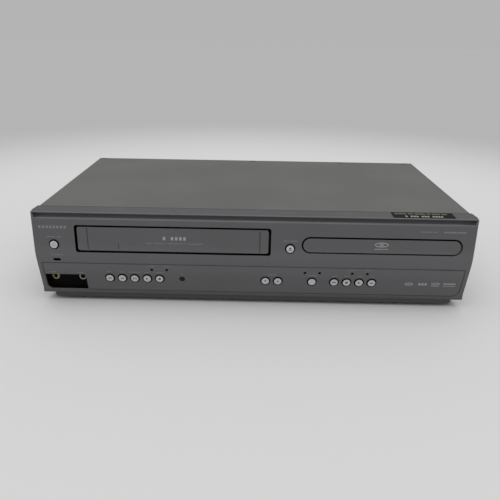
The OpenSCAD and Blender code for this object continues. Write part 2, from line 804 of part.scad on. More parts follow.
module rear_panel() {
    color(STEEL) difference() {
        block(-wall_half, wall_half, back_in, back_out, floor_z, roof_z);
        for (x = screw_x) rod_along_y(x, back_in - over, rear_y, screw_z, screw_r + hole_gap);
        for (x = rear_jack_columns, z = rear_jack_z)
            rod_along_y(x, back_in - over, rear_y, z, jack_r + touch);
        for (z = rf_jack_z) rod_along_y(rf_x0 + rf_w / 2, back_in - over, rear_y, z, rf_jack_r + 0.5);
        rod_along_y(gland_x, back_in - over, rear_y, gland_z, gland_neck_r);
    }
}
rear_jack_columns = [for (i = [0 : 7]) rear_jack_x0 + i * rear_jack_pitch];
module chassis_posts() {
    edge = 1.5 * post_r;   // from a carried edge to the middle of its post
    for (s = [-1, 1], y = deck_post_y) rod_along_z(tape_x + s * deck_post_x, y, floor_z - eps,
        deck_low, post_r);
    for (s = [-1, 1], y = [seam_y + post_r + 1, frame_y1 - edge])
        rod_along_z(disc_x + s * (frame_half - edge), y, floor_z - eps, frame_low, post_r);
    for (x = [main_x0 + 5 * edge, main_x1 - edge], y = [deck_front + 4 * edge, deck_rear - 4 * edge])
        rod_along_z(x, y, floor_z - eps, main_z, post_r);
    for (x = [power_x0 + edge, power_x1 - edge], y = [frame_y1 + edge, back_in - 1.3 * edge])
        rod_along_z(x, y, floor_z - eps, main_z, post_r);
}
module strip_outline() {
    low_round_rect(-strip_half, strip_half, foot_h, panel_bottom, strip_corner);
}
module bottom_chassis() {
    y0 = seam_y + over;
    color(DARK * 2.4) difference() {
        union() {
            block(-wall_half, wall_half, y0, back_in, foot_h, floor_z);
            for (s = [-1, 1]) block(s * wall_half - (s > 0 ? strip_t : 0),
                s * wall_half + (s < 0 ? strip_t : 0), y0, back_in, foot_h, floor_z + pan_rise);
            block(-wall_half, wall_half, back_in - strip_t, back_in, foot_h, floor_z + floor_t);
            extrude_y(strip_y, strip_y + strip_t) strip_outline();
            extrude_y(strip_y, y0 + over) intersection() {
                strip_outline();
                translate([-strip_half, foot_h]) square([2 * strip_half, floor_t]);
            }
            chassis_posts();
        }
        for (s = [-1, 1], y = side_screw_y) rod_along_x(min(0, s * far), max(0, s * far), y,
            side_screw_z, screw_r);
    }
}
module feet() {
    color(DARK) for (s = [-1, 1], y = foot_y) rod_along_z(s * foot_x, y, 0, foot_h, foot_r);
}
// Pan-head screw with a cross, its head on the plane z = 0
module screw(shank_r) {
    difference() {
        cylinder(h = screw_head_t, r = screw_head_r);
        for (turn = [0, 90]) rotate(turn) translate([0, 0, screw_head_t])
            cube([cross_l, cross_w, screw_head_t], center = true);
    }
    translate([0, 0, -screw_l]) cylinder(h = screw_l + eps, r = shank_r);
}
module cover_screws() {
    color(DARK * 1.5) {
        for (x = screw_x) translate([x, rear_y, screw_z]) rotate([-90, 0, 0]) screw(screw_r);
        for (s = [-1, 1], y = side_screw_y) translate([s * cover_half, y, side_screw_z])
            rotate([0, s * 90, 0]) screw(screw_r - eps);
    }
}
module cord_gland() {
    color(DARK) difference() {
        union() {
            rod_along_y(gland_x, back_out, rear_y + gland_t, gland_z, gland_r);
            rod_along_y(gland_x, back_in - gland_clip_t, back_out + eps, gland_z, gland_neck_r);
            rod_along_y(gland_x, back_in - 1.5 * gland_clip_t, back_in - over, gland_z, gland_neck_r + 1.4);
        }
        rod_along_y(gland_x, back_in - 2 * gland_clip_t, far, gland_z, gland_bore_r);
    }
}

// ---------------------------------------------------------------- front fittings
module panel_windows() {
    sink = window_sink;
    color(DARK) {
        intersection() {
            union() {
                for (x = led_x) rod_along_y(x, front_y - over, board_y, led_z, led_d / 2 - window_gap);
                rod_along_y(ir_x, front_y - over, board_y, row_z, ir_d / 2 - window_gap);
                extrude_y(front_y - over, board_y) standby_outline(window_gap);
            }
            extrude_x(-body_w / 2, body_w / 2) translate([sink, 0]) panel_profile();
        }
    }
}
module front_av_jacks() {
    for (i = [0, 1]) color([[0.75, 0.65, 0.15], [0.8, 0.8, 0.76]][i]) difference() {
        rod_along_y(jack_x[i], recess_back - recess_wall - jack_proud, recess_back + jack_tail,
            jack_z, jack_r);
        rod_along_y(jack_x[i], recess_back - recess_wall - jack_proud - over,
            recess_back + jack_tail - recess_wall, jack_z, jack_bore_r);
    }
    color(DARK) difference() {
        block(jack_x[0] - 1.5 * jack_r, jack_x[1] + 1.5 * jack_r, recess_back,
            recess_back + jack_tail - eps, recess_z, recess_z + recess_h);
        for (x = jack_x) rod_along_y(x, front_y, far, jack_z, jack_r);
    }
}
module switch_at(x, z) {
    block(x - switch_w / 2, x + switch_w / 2, board_y - switch_body_l, board_y,
        z - switch_w / 2, z + switch_w / 2);
    rod_along_y(x, board_y - switch_l, board_y, z, plunger_r);
}
module front_board() {
    color(BOARD) {
        block(board_x0, board_x1, board_y, board_y + board_t, board_low, board_top);
        block(power_x - power_board_half[0], power_x + power_board_half[1], board_y,
            board_y + board_t, standby_z - standby_h, upper_z + board_rise);
        block(tray_button_x - tray_board_half, tray_button_x + tray_board_half, board_y,
            board_y + board_t, upper_z - tray_board_drop, upper_z + board_rise);
    }
    color(DARK) for (p = button_list) switch_at(p[0], p[1]);
}
module cassette_flap() {
    color(PANEL) {
        difference() {
            intersection() {
                extrude_y(front_y - over, hole_y)
                    round_rect(flap_x0, flap_x1, flap_z0, flap_z1, slot_r - eps);
                face_skin(flap_sink, flap_sink + flap_t);
            }
            intersection() {
                for (x = flap_line_x) block(x - line_w / 2, x + line_w / 2, front_y, hole_y,
                    flap_z0 + line_inset, flap_z1 - line_inset);
                face_skin(0, flap_sink + line_depth);
            }
        }
        for (x = [flap_x0 + flap_t, flap_x1 - flap_t - flap_ear_t])
            extrude_x(x, x + flap_ear_t) flap_ear();
        for (ends = [[flap_x0 - flap_pin_l + over, flap_x0 + flap_ear_t],
            [flap_x1 - flap_ear_t, flap_x1 + flap_pin_l - over]])
            rod_along_x(ends[0], ends[1], flap_pin_y, flap_pin_z, flap_pin_r);
    }
}
module flap_ear() {
    r = flap_ear_r;
    y = up_y(flap_z1 - 2 * r, flap_sink + 0.7 * flap_t);
    polygon([[y, flap_z1 - 4 * r], [y + 0.8, flap_z1 - r], [flap_pin_y - r, flap_pin_z],
        [flap_pin_y + r, flap_pin_z], [flap_pin_y + r, flap_z1 - 2 * r]]);
    translate([flap_pin_y, flap_pin_z]) circle(r);
}
module tray_bezel() {
    color(PANEL) intersection() {
        extrude_y(front_y - over, tray_y0) round_rect(disc_x - bezel_w / 2, disc_x + bezel_w / 2,
            bezel_z, bezel_z + bezel_h, bezel_h / 2 - eps);
        extrude_x(-body_w / 2, body_w / 2) panel_profile();
    }
}
module button_at(i) {
    x = button_list[i][0];
    z = button_list[i][1];
    seat = z == upper_z ? upper_seat_y : button_seat_y;
    color(BUTTON) {
        intersection() {
            rod_along_y(x, front_y - 2 * over, seat + eps, z, button_d / 2);
            extrude_x(-body_w / 2, body_w / 2) translate([-button_proud, 0]) panel_profile();
        }
        rod_along_y(x, seat, seat + button_seat_t, z, button_lip_r);
        rod_along_y(x, seat, button_end_y, z, stem_r);
    }
}

// ---------------------------------------------------------------- cassette deck
module guide_track(s) {
    translate([tape_x + s * guide_x, guide_y]) rotate(-s * guide_slant) children();
}
module deck_chassis() {
    color(STEEL) {
        difference() {
            block(tape_x - deck_half, tape_x + deck_half, deck_front, deck_rear, deck_low, deck_top);
            for (s = [-1, 1]) translate([0, 0, deck_low - over]) linear_extrude(deck_t + 2 * over)
                guide_track(s) slot_2d(guide_run, guide_pin_r + 0.2);
            rod_along_z(capstan_x, capstan_y, deck_low - over, deck_top + over, sleeve_r + 0.1);
            rod_along_z(clutch_x, clutch_y, deck_low - over, deck_top + over, clutch_shaft_r + run_gap);
            for (s = [-1, 1]) translate([tape_x + s * 0.83 * bracket_half, reel_y + 3 * reel_hub_r,
                deck_low]) cube([reel_hub_r, 2 * reel_hub_r, 4 * deck_t], center = true);
        }
        for (s = [-1, 1]) rod_along_z(tape_x + s * reel_pitch / 2, reel_y, deck_top - eps,
            reel_z + spindle_h - 1.5, reel_pin_r);
        rod_along_z(pivot_x, pivot_y, deck_top - eps, arm_z + pivot_h + over, reel_pin_r);
    }
}
module carriage_brackets() {
    color(STEEL) for (s = [-1, 1]) {
        x0 = tape_x + s * bracket_half - (s > 0 ? carriage_t : 0);
        difference() {
            block(x0, x0 + carriage_t, bracket_y0, bracket_y1, deck_top, bracket_z1);
            block(x0 - over, x0 + carriage_t + over, rail_y[0], rail_y[1] + carriage_in,
                rail_z - carriage_slot_r, rail_z + carriage_slot_r);
            for (y = [rail_y[0], rail_y[1] + carriage_in])
                rod_along_x(x0 - over, x0 + carriage_t + over, y, rail_z, carriage_slot_r);
            block(x0 - over, x0 + carriage_t + over, pin_y[0] - pin_room,
                pin_y[1] + carriage_in + pin_room, pin_z - carriage_down - pin_room, pin_z + pin_room);
        }
        foot = s > 0 ? x0 + carriage_t : x0 - bracket_foot;
        block(foot, foot + bracket_foot, bracket_y0, bracket_y1, deck_top, deck_top + carriage_t);
    }
}
module carriage_slider() {
    color(NYLON) for (s = [-1, 1]) {
        x0 = tape_x + s * slider_half - (s > 0 ? carriage_t : 0);
        difference() {
            block(x0, x0 + carriage_t, slider_y0, slider_y1, slider_z0, slider_z1);
            for (y = pin_y) {
                block(x0 - over, x0 + carriage_t + over, y - carriage_slot_r,
                    y + carriage_slot_r, pin_z - carriage_down, pin_z);
                for (z = [pin_z - carriage_down, pin_z])
                    rod_along_x(x0 - over, x0 + carriage_t + over, y, z, carriage_slot_r);
            }
        }
        face = tape_x + s * (slider_half - eps);
        tip = tape_x + s * (bracket_half + 0.6);
        for (y = rail_y) rod_along_x(min(face, tip), max(face, tip), y, rail_z, carriage_pin_r);
    }
}
module cassette_holder() {
    t = carriage_t;
    y1 = holder_front + holder_l;
    color(STEEL) {
        for (s = [-1, 1]) {
            out = tape_x + s * holder_half;
            a = min(out, out - s * t);
            block(a, a + t, holder_front, y1, holder_z0, holder_z1);
            lip = min(out, out - s * lip_w);
            block(lip, lip + lip_w, holder_front, y1, holder_z0, holder_z0 + t);
            block(lip, lip + lip_w, y1 - t, y1, holder_z0, holder_z0 + 0.75 * lip_w);
            tip = out + s * (slider_half - holder_half + 0.4);
            for (y = pin_y) rod_along_x(min(out - s * t / 2, tip), max(out - s * t / 2, tip),
                y, pin_z, carriage_pin_r);
        }
        difference() {
            block(tape_x - holder_half, tape_x + holder_half, holder_front, y1,
                holder_z1 - t, holder_z1);
            for (s = [-1, 1]) translate([tape_x + s * holder_half / 2, (holder_front + y1) / 2,
                holder_z1]) cube([holder_half * 0.42, holder_l * 0.56, 4 * t], center = true);
        }
    }
}
module tilted_drum() {
    translate([tape_x, drum_y, deck_top]) rotate([0, -drum_tilt, 0]) children();
}
module lower_drum() {
    color(STEEL) difference() {
        intersection() {
            tilted_drum() translate([0, 0, -drum_r / 2])
                cylinder(h = low_drum_h + drum_r / 2, r = drum_r - 0.2);
            block(tape_x - far, tape_x + far, -far, far, deck_top, deck_top + far);
        }
        tilted_drum() translate([0, 0, drum_shaft_z - over])
            cylinder(h = drum_h, r = drum_shaft_r + run_gap);
    }
}
module upper_drum() {
    color([0.82, 0.83, 0.84]) tilted_drum() {
        difference() {
            translate([0, 0, low_drum_h + touch])
                cylinder(h = drum_h - low_drum_h - touch, r = drum_r);
            for (a = [0, 90, 180, 270]) rotate(a + drum_window / 2)
                translate([drum_r, 0, low_drum_h]) cube([drum_window, drum_window, 3], center = true);
            translate([0, 0, drum_h - drum_dish]) difference() {
                cylinder(h = drum_dish + over, r = drum_r - 2 * drum_dish);
                cylinder(h = far, r = drum_r * 0.3, center = true);
            }
        }
        translate([0, 0, drum_shaft_z]) cylinder(h = drum_h - drum_shaft_z - 1, r = drum_shaft_r);
    }
}
module capstan_motor() {
    color(STEEL) difference() {
        union() {
            rod_along_z(capstan_x, capstan_y, deck_low - motor_t, arm_z - 0.5, sleeve_r);
            rod_along_z(capstan_x, capstan_y, deck_low - motor_t, deck_low, motor_plate_r);
            rod_along_z(capstan_x, capstan_y, deck_low - motor_h, deck_low - motor_t + eps,
                0.8 * motor_plate_r);
        }
        rod_along_z(capstan_x, capstan_y, 0, arm_z, capstan_r + run_gap);
    }
}
module capstan() {
    rim = 0.5;
    groove_z = belt_z + belt_h + rim;
    color(STEEL) {
        rod_along_z(capstan_x, capstan_y, belt_z - 2 * rim, capstan_top, capstan_r);
        rod_along_z(capstan_x, capstan_y, groove_z + touch, deck_low - motor_h - 0.5, flywheel_r);
        rod_along_z(capstan_x, capstan_y, belt_z - rim, groove_z + touch + eps, small_pulley_r);
    }
}
module pinch_arm() {
    angle = atan2(rest_y - pivot_y, rest_x - pivot_x);
    reach = norm([rest_x - pivot_x, rest_y - pivot_y]);
    top = arm_z + arm_t;
    color(STEEL) difference() {
        union() {
            rod_along_z(pivot_x, pivot_y, arm_z - arm_t / 2, arm_z + pivot_h, spindle_out_r);
            translate([pivot_x, pivot_y, arm_z]) rotate(angle - 90) linear_extrude(arm_t)
                slot_2d(reach, arm_r);
            rod_along_z(rest_x, rest_y, top - eps, top + roller_l + 1.5, axle_r);
            rod_along_z(rest_x, rest_y, top + roller_l + 1, top + roller_l + 2, 2 * axle_r);
        }
        rod_along_z(pivot_x, pivot_y, deck_top, arm_z + pivot_h + over, reel_pin_r + run_gap);
    }
}
module pinch_roller() {
    low = arm_z + arm_t + 0.5;
    color(DARK) difference() {
        rod_along_z(rest_x, rest_y, low, low + roller_l, roller_r);
        rod_along_z(rest_x, rest_y, low - over, low + roller_l + over, axle_r + run_gap);
    }
}
module reel_at(x) {
    color(NYLON) difference() {
        union() {
            translate([x, reel_y, reel_z]) linear_extrude(gear_w) gear_2d(gear_m, reel_teeth);
            rod_along_z(x, reel_y, reel_z, reel_z + 2.3 * gear_w, reel_hub_r);
            rod_along_z(x, reel_y, reel_z, reel_z + spindle_h, spindle_out_r);
            for (a = [0, 120, 240]) translate([x, reel_y, reel_z]) rotate(a)
                translate([0, -fin_t / 2, 0]) cube([fin_l, fin_t, spindle_h - 1.5]);
        }
        rod_along_z(x, reel_y, reel_z - over, reel_z + spindle_h - 1.1, reel_pin_r + run_gap);
    }
}
module supply_reel() {
    reel_at(tape_x - reel_pitch / 2);
}
module takeup_reel() {
    reel_at(tape_x + reel_pitch / 2);
}
module reel_clutch() {
    rim = 0.5;
    color(NYLON) {
        rod_along_z(clutch_x, clutch_y, belt_z - 2 * rim, reel_z + 2.3 * gear_w, clutch_shaft_r);
        rod_along_z(clutch_x, clutch_y, belt_z - rim, belt_z + belt_h + rim, clutch_r);
        rod_along_z(clutch_x, clutch_y, belt_z + belt_h, deck_low - touch, sleeve_r);
        translate([clutch_x, clutch_y, reel_z]) linear_extrude(gear_w) gear_2d(gear_m, clutch_teeth);
    }
}
module reel_belt() {
    color(DARK) translate([0, 0, belt_z]) linear_extrude(belt_h - touch)
        belt_loop(capstan_x, capstan_y, small_pulley_r + touch, clutch_x, clutch_y, clutch_r + touch);
}
module guide_carrier(s) {
    x = tape_x + s * guide_x;
    base = deck_top + touch + guide_base_t;
    flange = guide_collar_r / 2;
    color(STEEL) {
        rod_along_z(x, guide_y, deck_top + touch, base, guide_base_r);
        rod_along_z(x, guide_y, deck_low - touch - eps, deck_top + touch + eps, guide_pin_r);
        rod_along_z(x, guide_y, deck_low - touch - deck_t, deck_low - touch, 1.8 * guide_pin_r);
        rod_along_z(x, guide_y, base - eps, capstan_top, 1.4 * guide_pin_r);
        for (z = [base, capstan_top - flange]) rod_along_z(x, guide_y, z, z + flange, guide_collar_r);
        translate([x + s * 0.6 * guide_base_r, guide_y - guide_base_r / 3, base - eps])
            rotate([0, -s * guide_lean, 0]) cylinder(h = head_h, r = axle_r);
    }
}
module supply_guide() {
    guide_carrier(-1);
}
module takeup_guide() {
    guide_carrier(1);
}
module head_post(x, y, w) {
    l = head_half_l;
    rod_along_z(x, y, deck_top, deck_top + head_z + eps, guide_pin_r);
    block(x - w / 2, x + w / 2, y - l, y + l, deck_top + head_z, deck_top + head_z + head_h - 1);
    block(x - w / 2 - l, x + w / 2 + l, y - l - 1, y + l + 1, deck_top, deck_top + deck_t);
}
module tape_heads() {
    color(STEEL) {
        for (p = head_list) head_post(tape_x + p[0], drum_y + p[1], p[2]);
        for (p = post_list) {
            rod_along_z(tape_x + p[0], drum_y + p[1], deck_top, capstan_top - 1, guide_pin_r);
            rod_along_z(tape_x + p[0], drum_y + p[1], deck_top, deck_top + 2, foot_r_small);
        }
    }
}

// ---------------------------------------------------------------- disc drive
module loader_frame() {
    color(DARK * 1.6) difference() {
        union() {
            block(disc_x - frame_half, disc_x + frame_half, frame_y0, frame_y1,
                frame_low, frame_low + frame_t);
            for (s = [-1, 1]) {
                a = min(disc_x + s * frame_in, disc_x + s * frame_half);
                block(a, a + frame_t, frame_y0, frame_y1, frame_low, frame_top);
                b = min(disc_x + s * rail_in, disc_x + s * (frame_in + eps));
                block(b, b + frame_in - rail_in + eps, frame_y0 + 2 * frame_t, frame_y1,
                    tray_low - touch - frame_t, tray_low - touch);
                for (y = guard_y) block(b, b + frame_in - rail_in + eps, y, y + guard_l,
                    tray_low + flange_t + touch, tray_low + 2 * flange_t + touch);
                c = min(disc_x + s * ear_x, disc_x + s * (ear_x + ear_t));
                block(c, c + ear_t, hinge_y - ear_half, hinge_y + ear_half, frame_low,
                    hinge_z + ear_half);
            }
            rod_along_z(gear_x, gear_y, frame_low, pulley_z - 0.5, sleeve_r);
            rod_along_z(gear_x, gear_y, frame_low, gear_z + gear_t - 0.6, gear_pin_r);
        }
        block(disc_x - traverse_half - frame_t, disc_x + traverse_half + frame_t, traverse_y0 - ear_t,
            frame_y1 - ear_half, frame_low - over, frame_low + frame_t + over);
        rod_along_x(disc_x - ear_x - ear_t - over, disc_x + ear_x + ear_t + over, hinge_y, hinge_z,
            hinge_r + run_gap);
        rod_along_z(motor_x, gear_y, frame_low - over, frame_low + frame_t + over, motor_neck_r + 0.1);
    }
}
module rack_2d() {
    m = gear_m;
    slope = tan(20);
    tip = 0.9 * m;
    root = 1.3 * m;
    back = 4.5 * m;
    half = PI * m / 4 - backlash / 2;
    first = -floor((gear_y - tray_y0 - 1.5 * rack_end) / (PI * m));
    for (i = [0 : rack_teeth - 1]) {
        y = gear_y + (first + i + 0.5) * PI * m;
        polygon([[rack_x - root, y - half - root * slope], [rack_x + tip, y - half + tip * slope],
            [rack_x + tip, y + half - tip * slope], [rack_x - root, y + half + root * slope]]);
    }
    translate([rack_x - back, tray_y0 + rack_end])
        square([back - root + eps, tray_l - 2 * rack_end]);
}
module disc_tray() {
    color(DARK * 1.3) difference() {
        union() {
            block(disc_x - tray_half, disc_x + tray_half, tray_y0, tray_y1, plate_low, tray_top);
            for (s = [-1, 1]) {
                a = min(disc_x + s * (tray_half - flange_t), disc_x + s * tray_half);
                block(a, a + flange_t, tray_y0, tray_y1, tray_low, tray_top);
                b = min(disc_x + s * (tray_half - eps), disc_x + s * flange_half);
                block(b, b + flange_half - tray_half + eps, tray_y0 + guard_l, tray_y1,
                    tray_low, tray_low + flange_t);
            }
            translate([0, 0, tray_low]) linear_extrude(plate_low - tray_low + eps) rack_2d();
        }
        rod_along_z(disc_x, disc_y, recess_floor, tray_top + over, disc_r);
        rod_along_z(disc_x, disc_y, recess_floor - 1, tray_top + over, small_disc_r);
        rod_along_z(disc_x, disc_y, tray_low - over, tray_top + over, tray_slot_w / 2);
        block(disc_x - tray_slot_w / 2, disc_x + tray_slot_w / 2, disc_y, tray_y1 + over,
            tray_low - over, tray_top + over);
    }
}
module tray_gear() {
    color(NYLON) difference() {
        union() {
            translate([gear_x, gear_y, gear_z]) linear_extrude(gear_t) gear_2d(gear_m, tray_teeth);
            rod_along_z(gear_x, gear_y, pulley_z, gear_z + eps, 3 * gear_pin_r);
            rod_along_z(gear_x, gear_y, pulley_z, pulley_z + pulley_t, pulley_r);
        }
        rod_along_z(gear_x, gear_y, frame_low, gear_z + gear_t + over, gear_pin_r + run_gap);
    }
}
module tray_motor() {
    color(STEEL) difference() {
        union() {
            rod_along_z(motor_x, gear_y, frame_low - motor_l, frame_low, motor_r);
            rod_along_z(motor_x, gear_y, frame_low - eps, frame_low + frame_t, motor_neck_r);
        }
        rod_along_z(motor_x, gear_y, frame_low - motor_r, pulley_z, motor_shaft_r + run_gap);
    }
}
module motor_pulley() {
    color(NYLON) rod_along_z(motor_x, gear_y, pulley_z, pulley_z + pulley_t, motor_pulley_r);
    color(STEEL) rod_along_z(motor_x, gear_y, frame_low - motor_r + over, pulley_z + pulley_t + over,
        motor_shaft_r);
}
module tray_belt() {
    color(DARK) translate([0, 0, pulley_z + 0.3 * pulley_t]) linear_extrude(0.4 * pulley_t)
        belt_loop(gear_x, gear_y, pulley_r + touch, motor_x, gear_y, motor_pulley_r + touch);
}
module clamp_bridge() {
    color(STEEL) difference() {
        block(disc_x - frame_half, disc_x + frame_half, disc_y - bridge_half_l,
            disc_y + bridge_half_l, frame_top, frame_top + bridge_t);
        rod_along_z(disc_x, disc_y, frame_top - over, frame_top + bridge_t + over, clamp_neck_r + touch);
    }
}
module disc_clamp() {
    color(NYLON) {
        rod_along_z(disc_x, disc_y, clamp_z, frame_top - touch, clamp_r);
        rod_along_z(disc_x, disc_y, clamp_z, frame_top + bridge_t + 0.5, clamp_neck_r);
        rod_along_z(disc_x, disc_y, frame_top + bridge_t + touch, frame_top + bridge_t + 2, clamp_r);
    }
}
module rod_ends(y) {
    difference() {
        block(disc_x - rod_x - end_rim, disc_x + screw_dx + end_rim, y, y + end_t, traverse_z,
            rod_z + end_rim);
        block(disc_x - rod_x + end_t, disc_x + rod_x - end_t, y - over, y + end_t + over,
            traverse_z + traverse_t, far);
        rod_along_y(disc_x + screw_dx, y - over, y + end_t + over, rod_z, rod_r + run_gap);
    }
}
module traverse() {
    color(DARK * 2) difference() {
        union() {
            block(disc_x - traverse_half, disc_x + traverse_half, traverse_y0, traverse_y1,
                traverse_z, traverse_z + traverse_t);
            block(disc_x - traverse_half, disc_x + traverse_half, traverse_y1 - eps, hinge_y,
                traverse_z, traverse_z + traverse_t);
            rod_along_x(disc_x - ear_x - ear_t / 2, disc_x + ear_x + ear_t / 2, hinge_y, hinge_z, hinge_r);
        }
        block(disc_x - pickup_half_w, disc_x + pickup_half_w, pickup_y - pickup_half_l - 1,
            end_y[1] - 1, traverse_z - over, traverse_z + traverse_t + over);
        rod_along_z(disc_x, disc_y, traverse_z - over, traverse_z + traverse_t + over, spindle_r);
    }
    color(STEEL) {
        difference() {
            rod_along_z(disc_x, disc_y, traverse_z - traverse_t, rod_z, spindle_r);
            rod_along_z(disc_x, disc_y, traverse_z, rod_z + over, motor_shaft_r + run_gap);
        }
        for (s = [-1, 1]) rod_along_y(disc_x + s * rod_x, end_y[0] + end_t - over, end_y[1] + over,
            rod_z, rod_r);
    }
    color(DARK * 2) {
        difference() {
            union() {
                for (y = end_y) rod_ends(y);
            }
            for (s = [-1, 1]) rod_along_y(disc_x + s * rod_x, end_y[0] + end_t - over,
                end_y[1] + over, rod_z, rod_r);
            rod_along_z(disc_x, disc_y, 0, far, spindle_r);
        }
    }
}
module turntable() {
    color(DARK * 3) {
        rod_along_z(disc_x, disc_y, traverse_z + 0.5, table_top, motor_shaft_r);
        rod_along_z(disc_x, disc_y, rod_z + 0.5, table_top, table_r / 3);
        rod_along_z(disc_x, disc_y, table_top - table_t, table_top, table_r);
        rod_along_z(disc_x, disc_y, table_top - eps, table_top + hub_h, hub_r);
        rod_along_z(disc_x, disc_y, table_top - eps, tray_top + 0.1, hub_r * 2 / 3);
    }
}
module pickup() {
    z0 = traverse_z + 3.5;
    z1 = rod_z + 4;
    y0 = pickup_y - pickup_half_l;
    y1 = pickup_y + pickup_half_l;
    color(DARK * 2.6) difference() {
        union() {
            block(disc_x - pickup_half_w, disc_x + pickup_half_w, y0, y1, z0, z1);
            block(disc_x - rod_x - pickup_rim, disc_x + rod_x + pickup_rim, y0 + pickup_rim,
                y1 - pickup_rim, z0 + 1, z1 - 0.5);
            block(disc_x + rod_x, disc_x + screw_dx + pickup_rim, y0 + 2 * pickup_rim,
                y1 - 2 * pickup_rim, z0 + 1, z1 - 0.5);
        }
        for (s = [-1, 1]) rod_along_y(disc_x + s * rod_x, y0 - over, y1 + over, rod_z,
            rod_r + run_gap);
        rod_along_y(disc_x + screw_dx, y0 - over, y1 + over, rod_z, rod_r + touch);
    }
    color(BOARD * 0.6) rod_along_z(disc_x, pickup_y, z1 - eps, z1 + 1, 2.3 * lens_r);
    color(STEEL) rod_along_z(disc_x, pickup_y, z1, z1 + hub_h, lens_r);
}
module lead_screw() {
    y1 = end_y[1] + end_t;
    color(STEEL) {
        rod_along_y(disc_x + screw_dx, end_y[0] - 0.5, y1 + gear_w, rod_z, rod_r);
        rod_along_y(disc_x + screw_dx, y1 + touch, y1 + gear_w + 0.5, rod_z, 3 * rod_r);
    }
}

// ---------------------------------------------------------------- boards
// Plain chips and cans on a board, from lists of [x, y, width, depth] and [x, y, r, height]
module parts_on(z, chips, cans) {
    for (p = chips) block(p[0], p[0] + p[2], p[1], p[1] + p[3], z, z + chip_t);
    for (p = cans) rod_along_z(p[0], p[1], z, z + p[3], p[2]);
}
module main_board() {
    color(BOARD) difference() {
        block(main_x0, main_x1, board_y + 8, boards_y1, main_z, main_z + board_t);
        for (s = [-1, 1], y = deck_post_y) rod_along_z(tape_x + s * deck_post_x, y, main_z - over,
            main_z + board_t + over, post_r + 0.5);
    }
    color(DARK) parts_on(main_z + board_t, [[tape_x - 60, deck_front + 20, 28, 28],
        [tape_x - 24, deck_front + 4, 18, 18], [tape_x + 60, deck_front + 16, 24, 24]],
        [for (i = [0 : 4]) [main_x0 + 9, deck_front + i * 13, 4, 11],
        for (i = [0 : 2]) [main_x0 + 20, deck_front + 6 + i * 15, 3, 8]]);
}
module power_board() {
    y0 = frame_y1 + 1;
    mid = (y0 + boards_y1) / 2;
    top = main_z + board_t;
    color(BOARD) block(power_x0, power_x1, y0, boards_y1, main_z, top);
    color([0.75, 0.62, 0.2]) translate([disc_x, mid, top + core_h / 2])
        cube([1.1 * core_h, core_h, core_h + eps], center = true);
    color(DARK) parts_on(top, [], [[disc_x + 42, mid, 11, 30], [disc_x - 30, mid - 8, 5, 16],
        [disc_x - 30, mid + 8, 6, 20], [disc_x - 60, mid - 8, 4, 12], [disc_x - 60, mid + 8, 4, 12]]);
    color(STEEL) translate([disc_x - 45, mid, top + core_h / 2])
        cube([frame_t, 1.3 * core_h, core_h + eps], center = true);
}
module rf_tuner() {
    x = rf_x0 + rf_w / 2;
    color(STEEL) {
        block(rf_x0, rf_x0 + rf_w, back_in - rf_l, back_in, main_z + board_t, main_z + board_t + rf_h);
        for (z = rf_jack_z) difference() {
            union() {
                rod_along_y(x, back_in - eps, rear_y + jack_out, z, rf_jack_r);
                rod_along_y(x, back_out + eps, rear_y + sheet_t, z, jack_r + jack_ring);
            }
            rod_along_y(x, back_in, rear_y + jack_out + over, z, jack_bore_r);
        }
    }
}
module rear_av_jacks() {
    half = rear_jack_pitch / 2;
    color(DARK) block(rear_jack_x0 - half, rear_jack_columns[7] + half, rear_block_y, back_in,
        main_z + board_t, rear_jack_z[1] + half);
    color(STEEL) for (x = rear_jack_columns, z = rear_jack_z) difference() {
        rod_along_y(x, back_in - eps, rear_y + jack_out - 0.4, z, jack_r);
        rod_along_y(x, back_out, far, z, jack_bore_r);
    }
}

// Coil of round wire around the flap's left pin, swept ring by ring
function coil_ring(i) = let (a = 360 * i / spring_steps)
    [for (j = [0 : spring_sides - 1])
        let (b = 360 * j / spring_sides)
        let (r = spring_r + spring_wire * cos(b))
        [spring_x + spring_pitch * a / 360 + spring_wire * sin(b),
            flap_pin_y + r * cos(a), flap_pin_z + r * sin(a)]];
module flap_spring() {
    rings = spring_turns * spring_steps;
    n = spring_sides;
    points = [for (i = [0 : rings]) each coil_ring(i)];
    sides = [for (i = [0 : rings - 1], j = [0 : n - 1])
        [i * n + j, i * n + (j + 1) % n, (i + 1) * n + (j + 1) % n, (i + 1) * n + j]];
    ends = [[for (j = [n - 1 : -1 : 0]) j], [for (j = [0 : n - 1]) rings * n + j]];
    color(STEEL) polyhedron(points, concat(sides, ends), convexity = 6);
}

top_cover();
front_panel();
bottom_chassis();
rear_panel();
feet();
cover_screws();
cord_gland();
panel_windows();
front_av_jacks();
front_board();
cassette_flap();
flap_spring();
tray_bezel();
button_at(0);  // button_power
button_at(1);  // button_tray_open
button_at(2);  // button_rewind
button_at(3);  // button_fast_forward
button_at(4);  // button_stop_eject
button_at(5);  // button_tape_play
button_at(6);  // button_record
button_at(7);  // button_channel_down
button_at(8);  // button_channel_up
button_at(9);  // button_source
button_at(10);  // button_skip_back
button_at(11);  // button_disc_stop
button_at(12);  // button_disc_play
button_at(13);  // button_skip_forward
deck_chassis();
carriage_brackets();
carriage_slider();
cassette_holder();
lower_drum();
upper_drum();
capstan_motor();
capstan();
pinch_arm();
pinch_roller();
supply_reel();
takeup_reel();
reel_clutch();
reel_belt();
supply_guide();
takeup_guide();
tape_heads();
loader_frame();
disc_tray();
tray_gear();
tray_motor();
motor_pulley();
tray_belt();
clamp_bridge();
disc_clamp();
traverse();
turntable();
pickup();
lead_screw();
main_board();
power_board();
rf_tuner();
rear_av_jacks();
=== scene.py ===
import json
import math

import bmesh
import bpy
from bpy.props import FloatProperty, FloatVectorProperty, PointerProperty
from bpy.types import Operator, Panel, PropertyGroup
from mathutils import Matrix, Vector
from mathutils.bvhtree import BVHTree


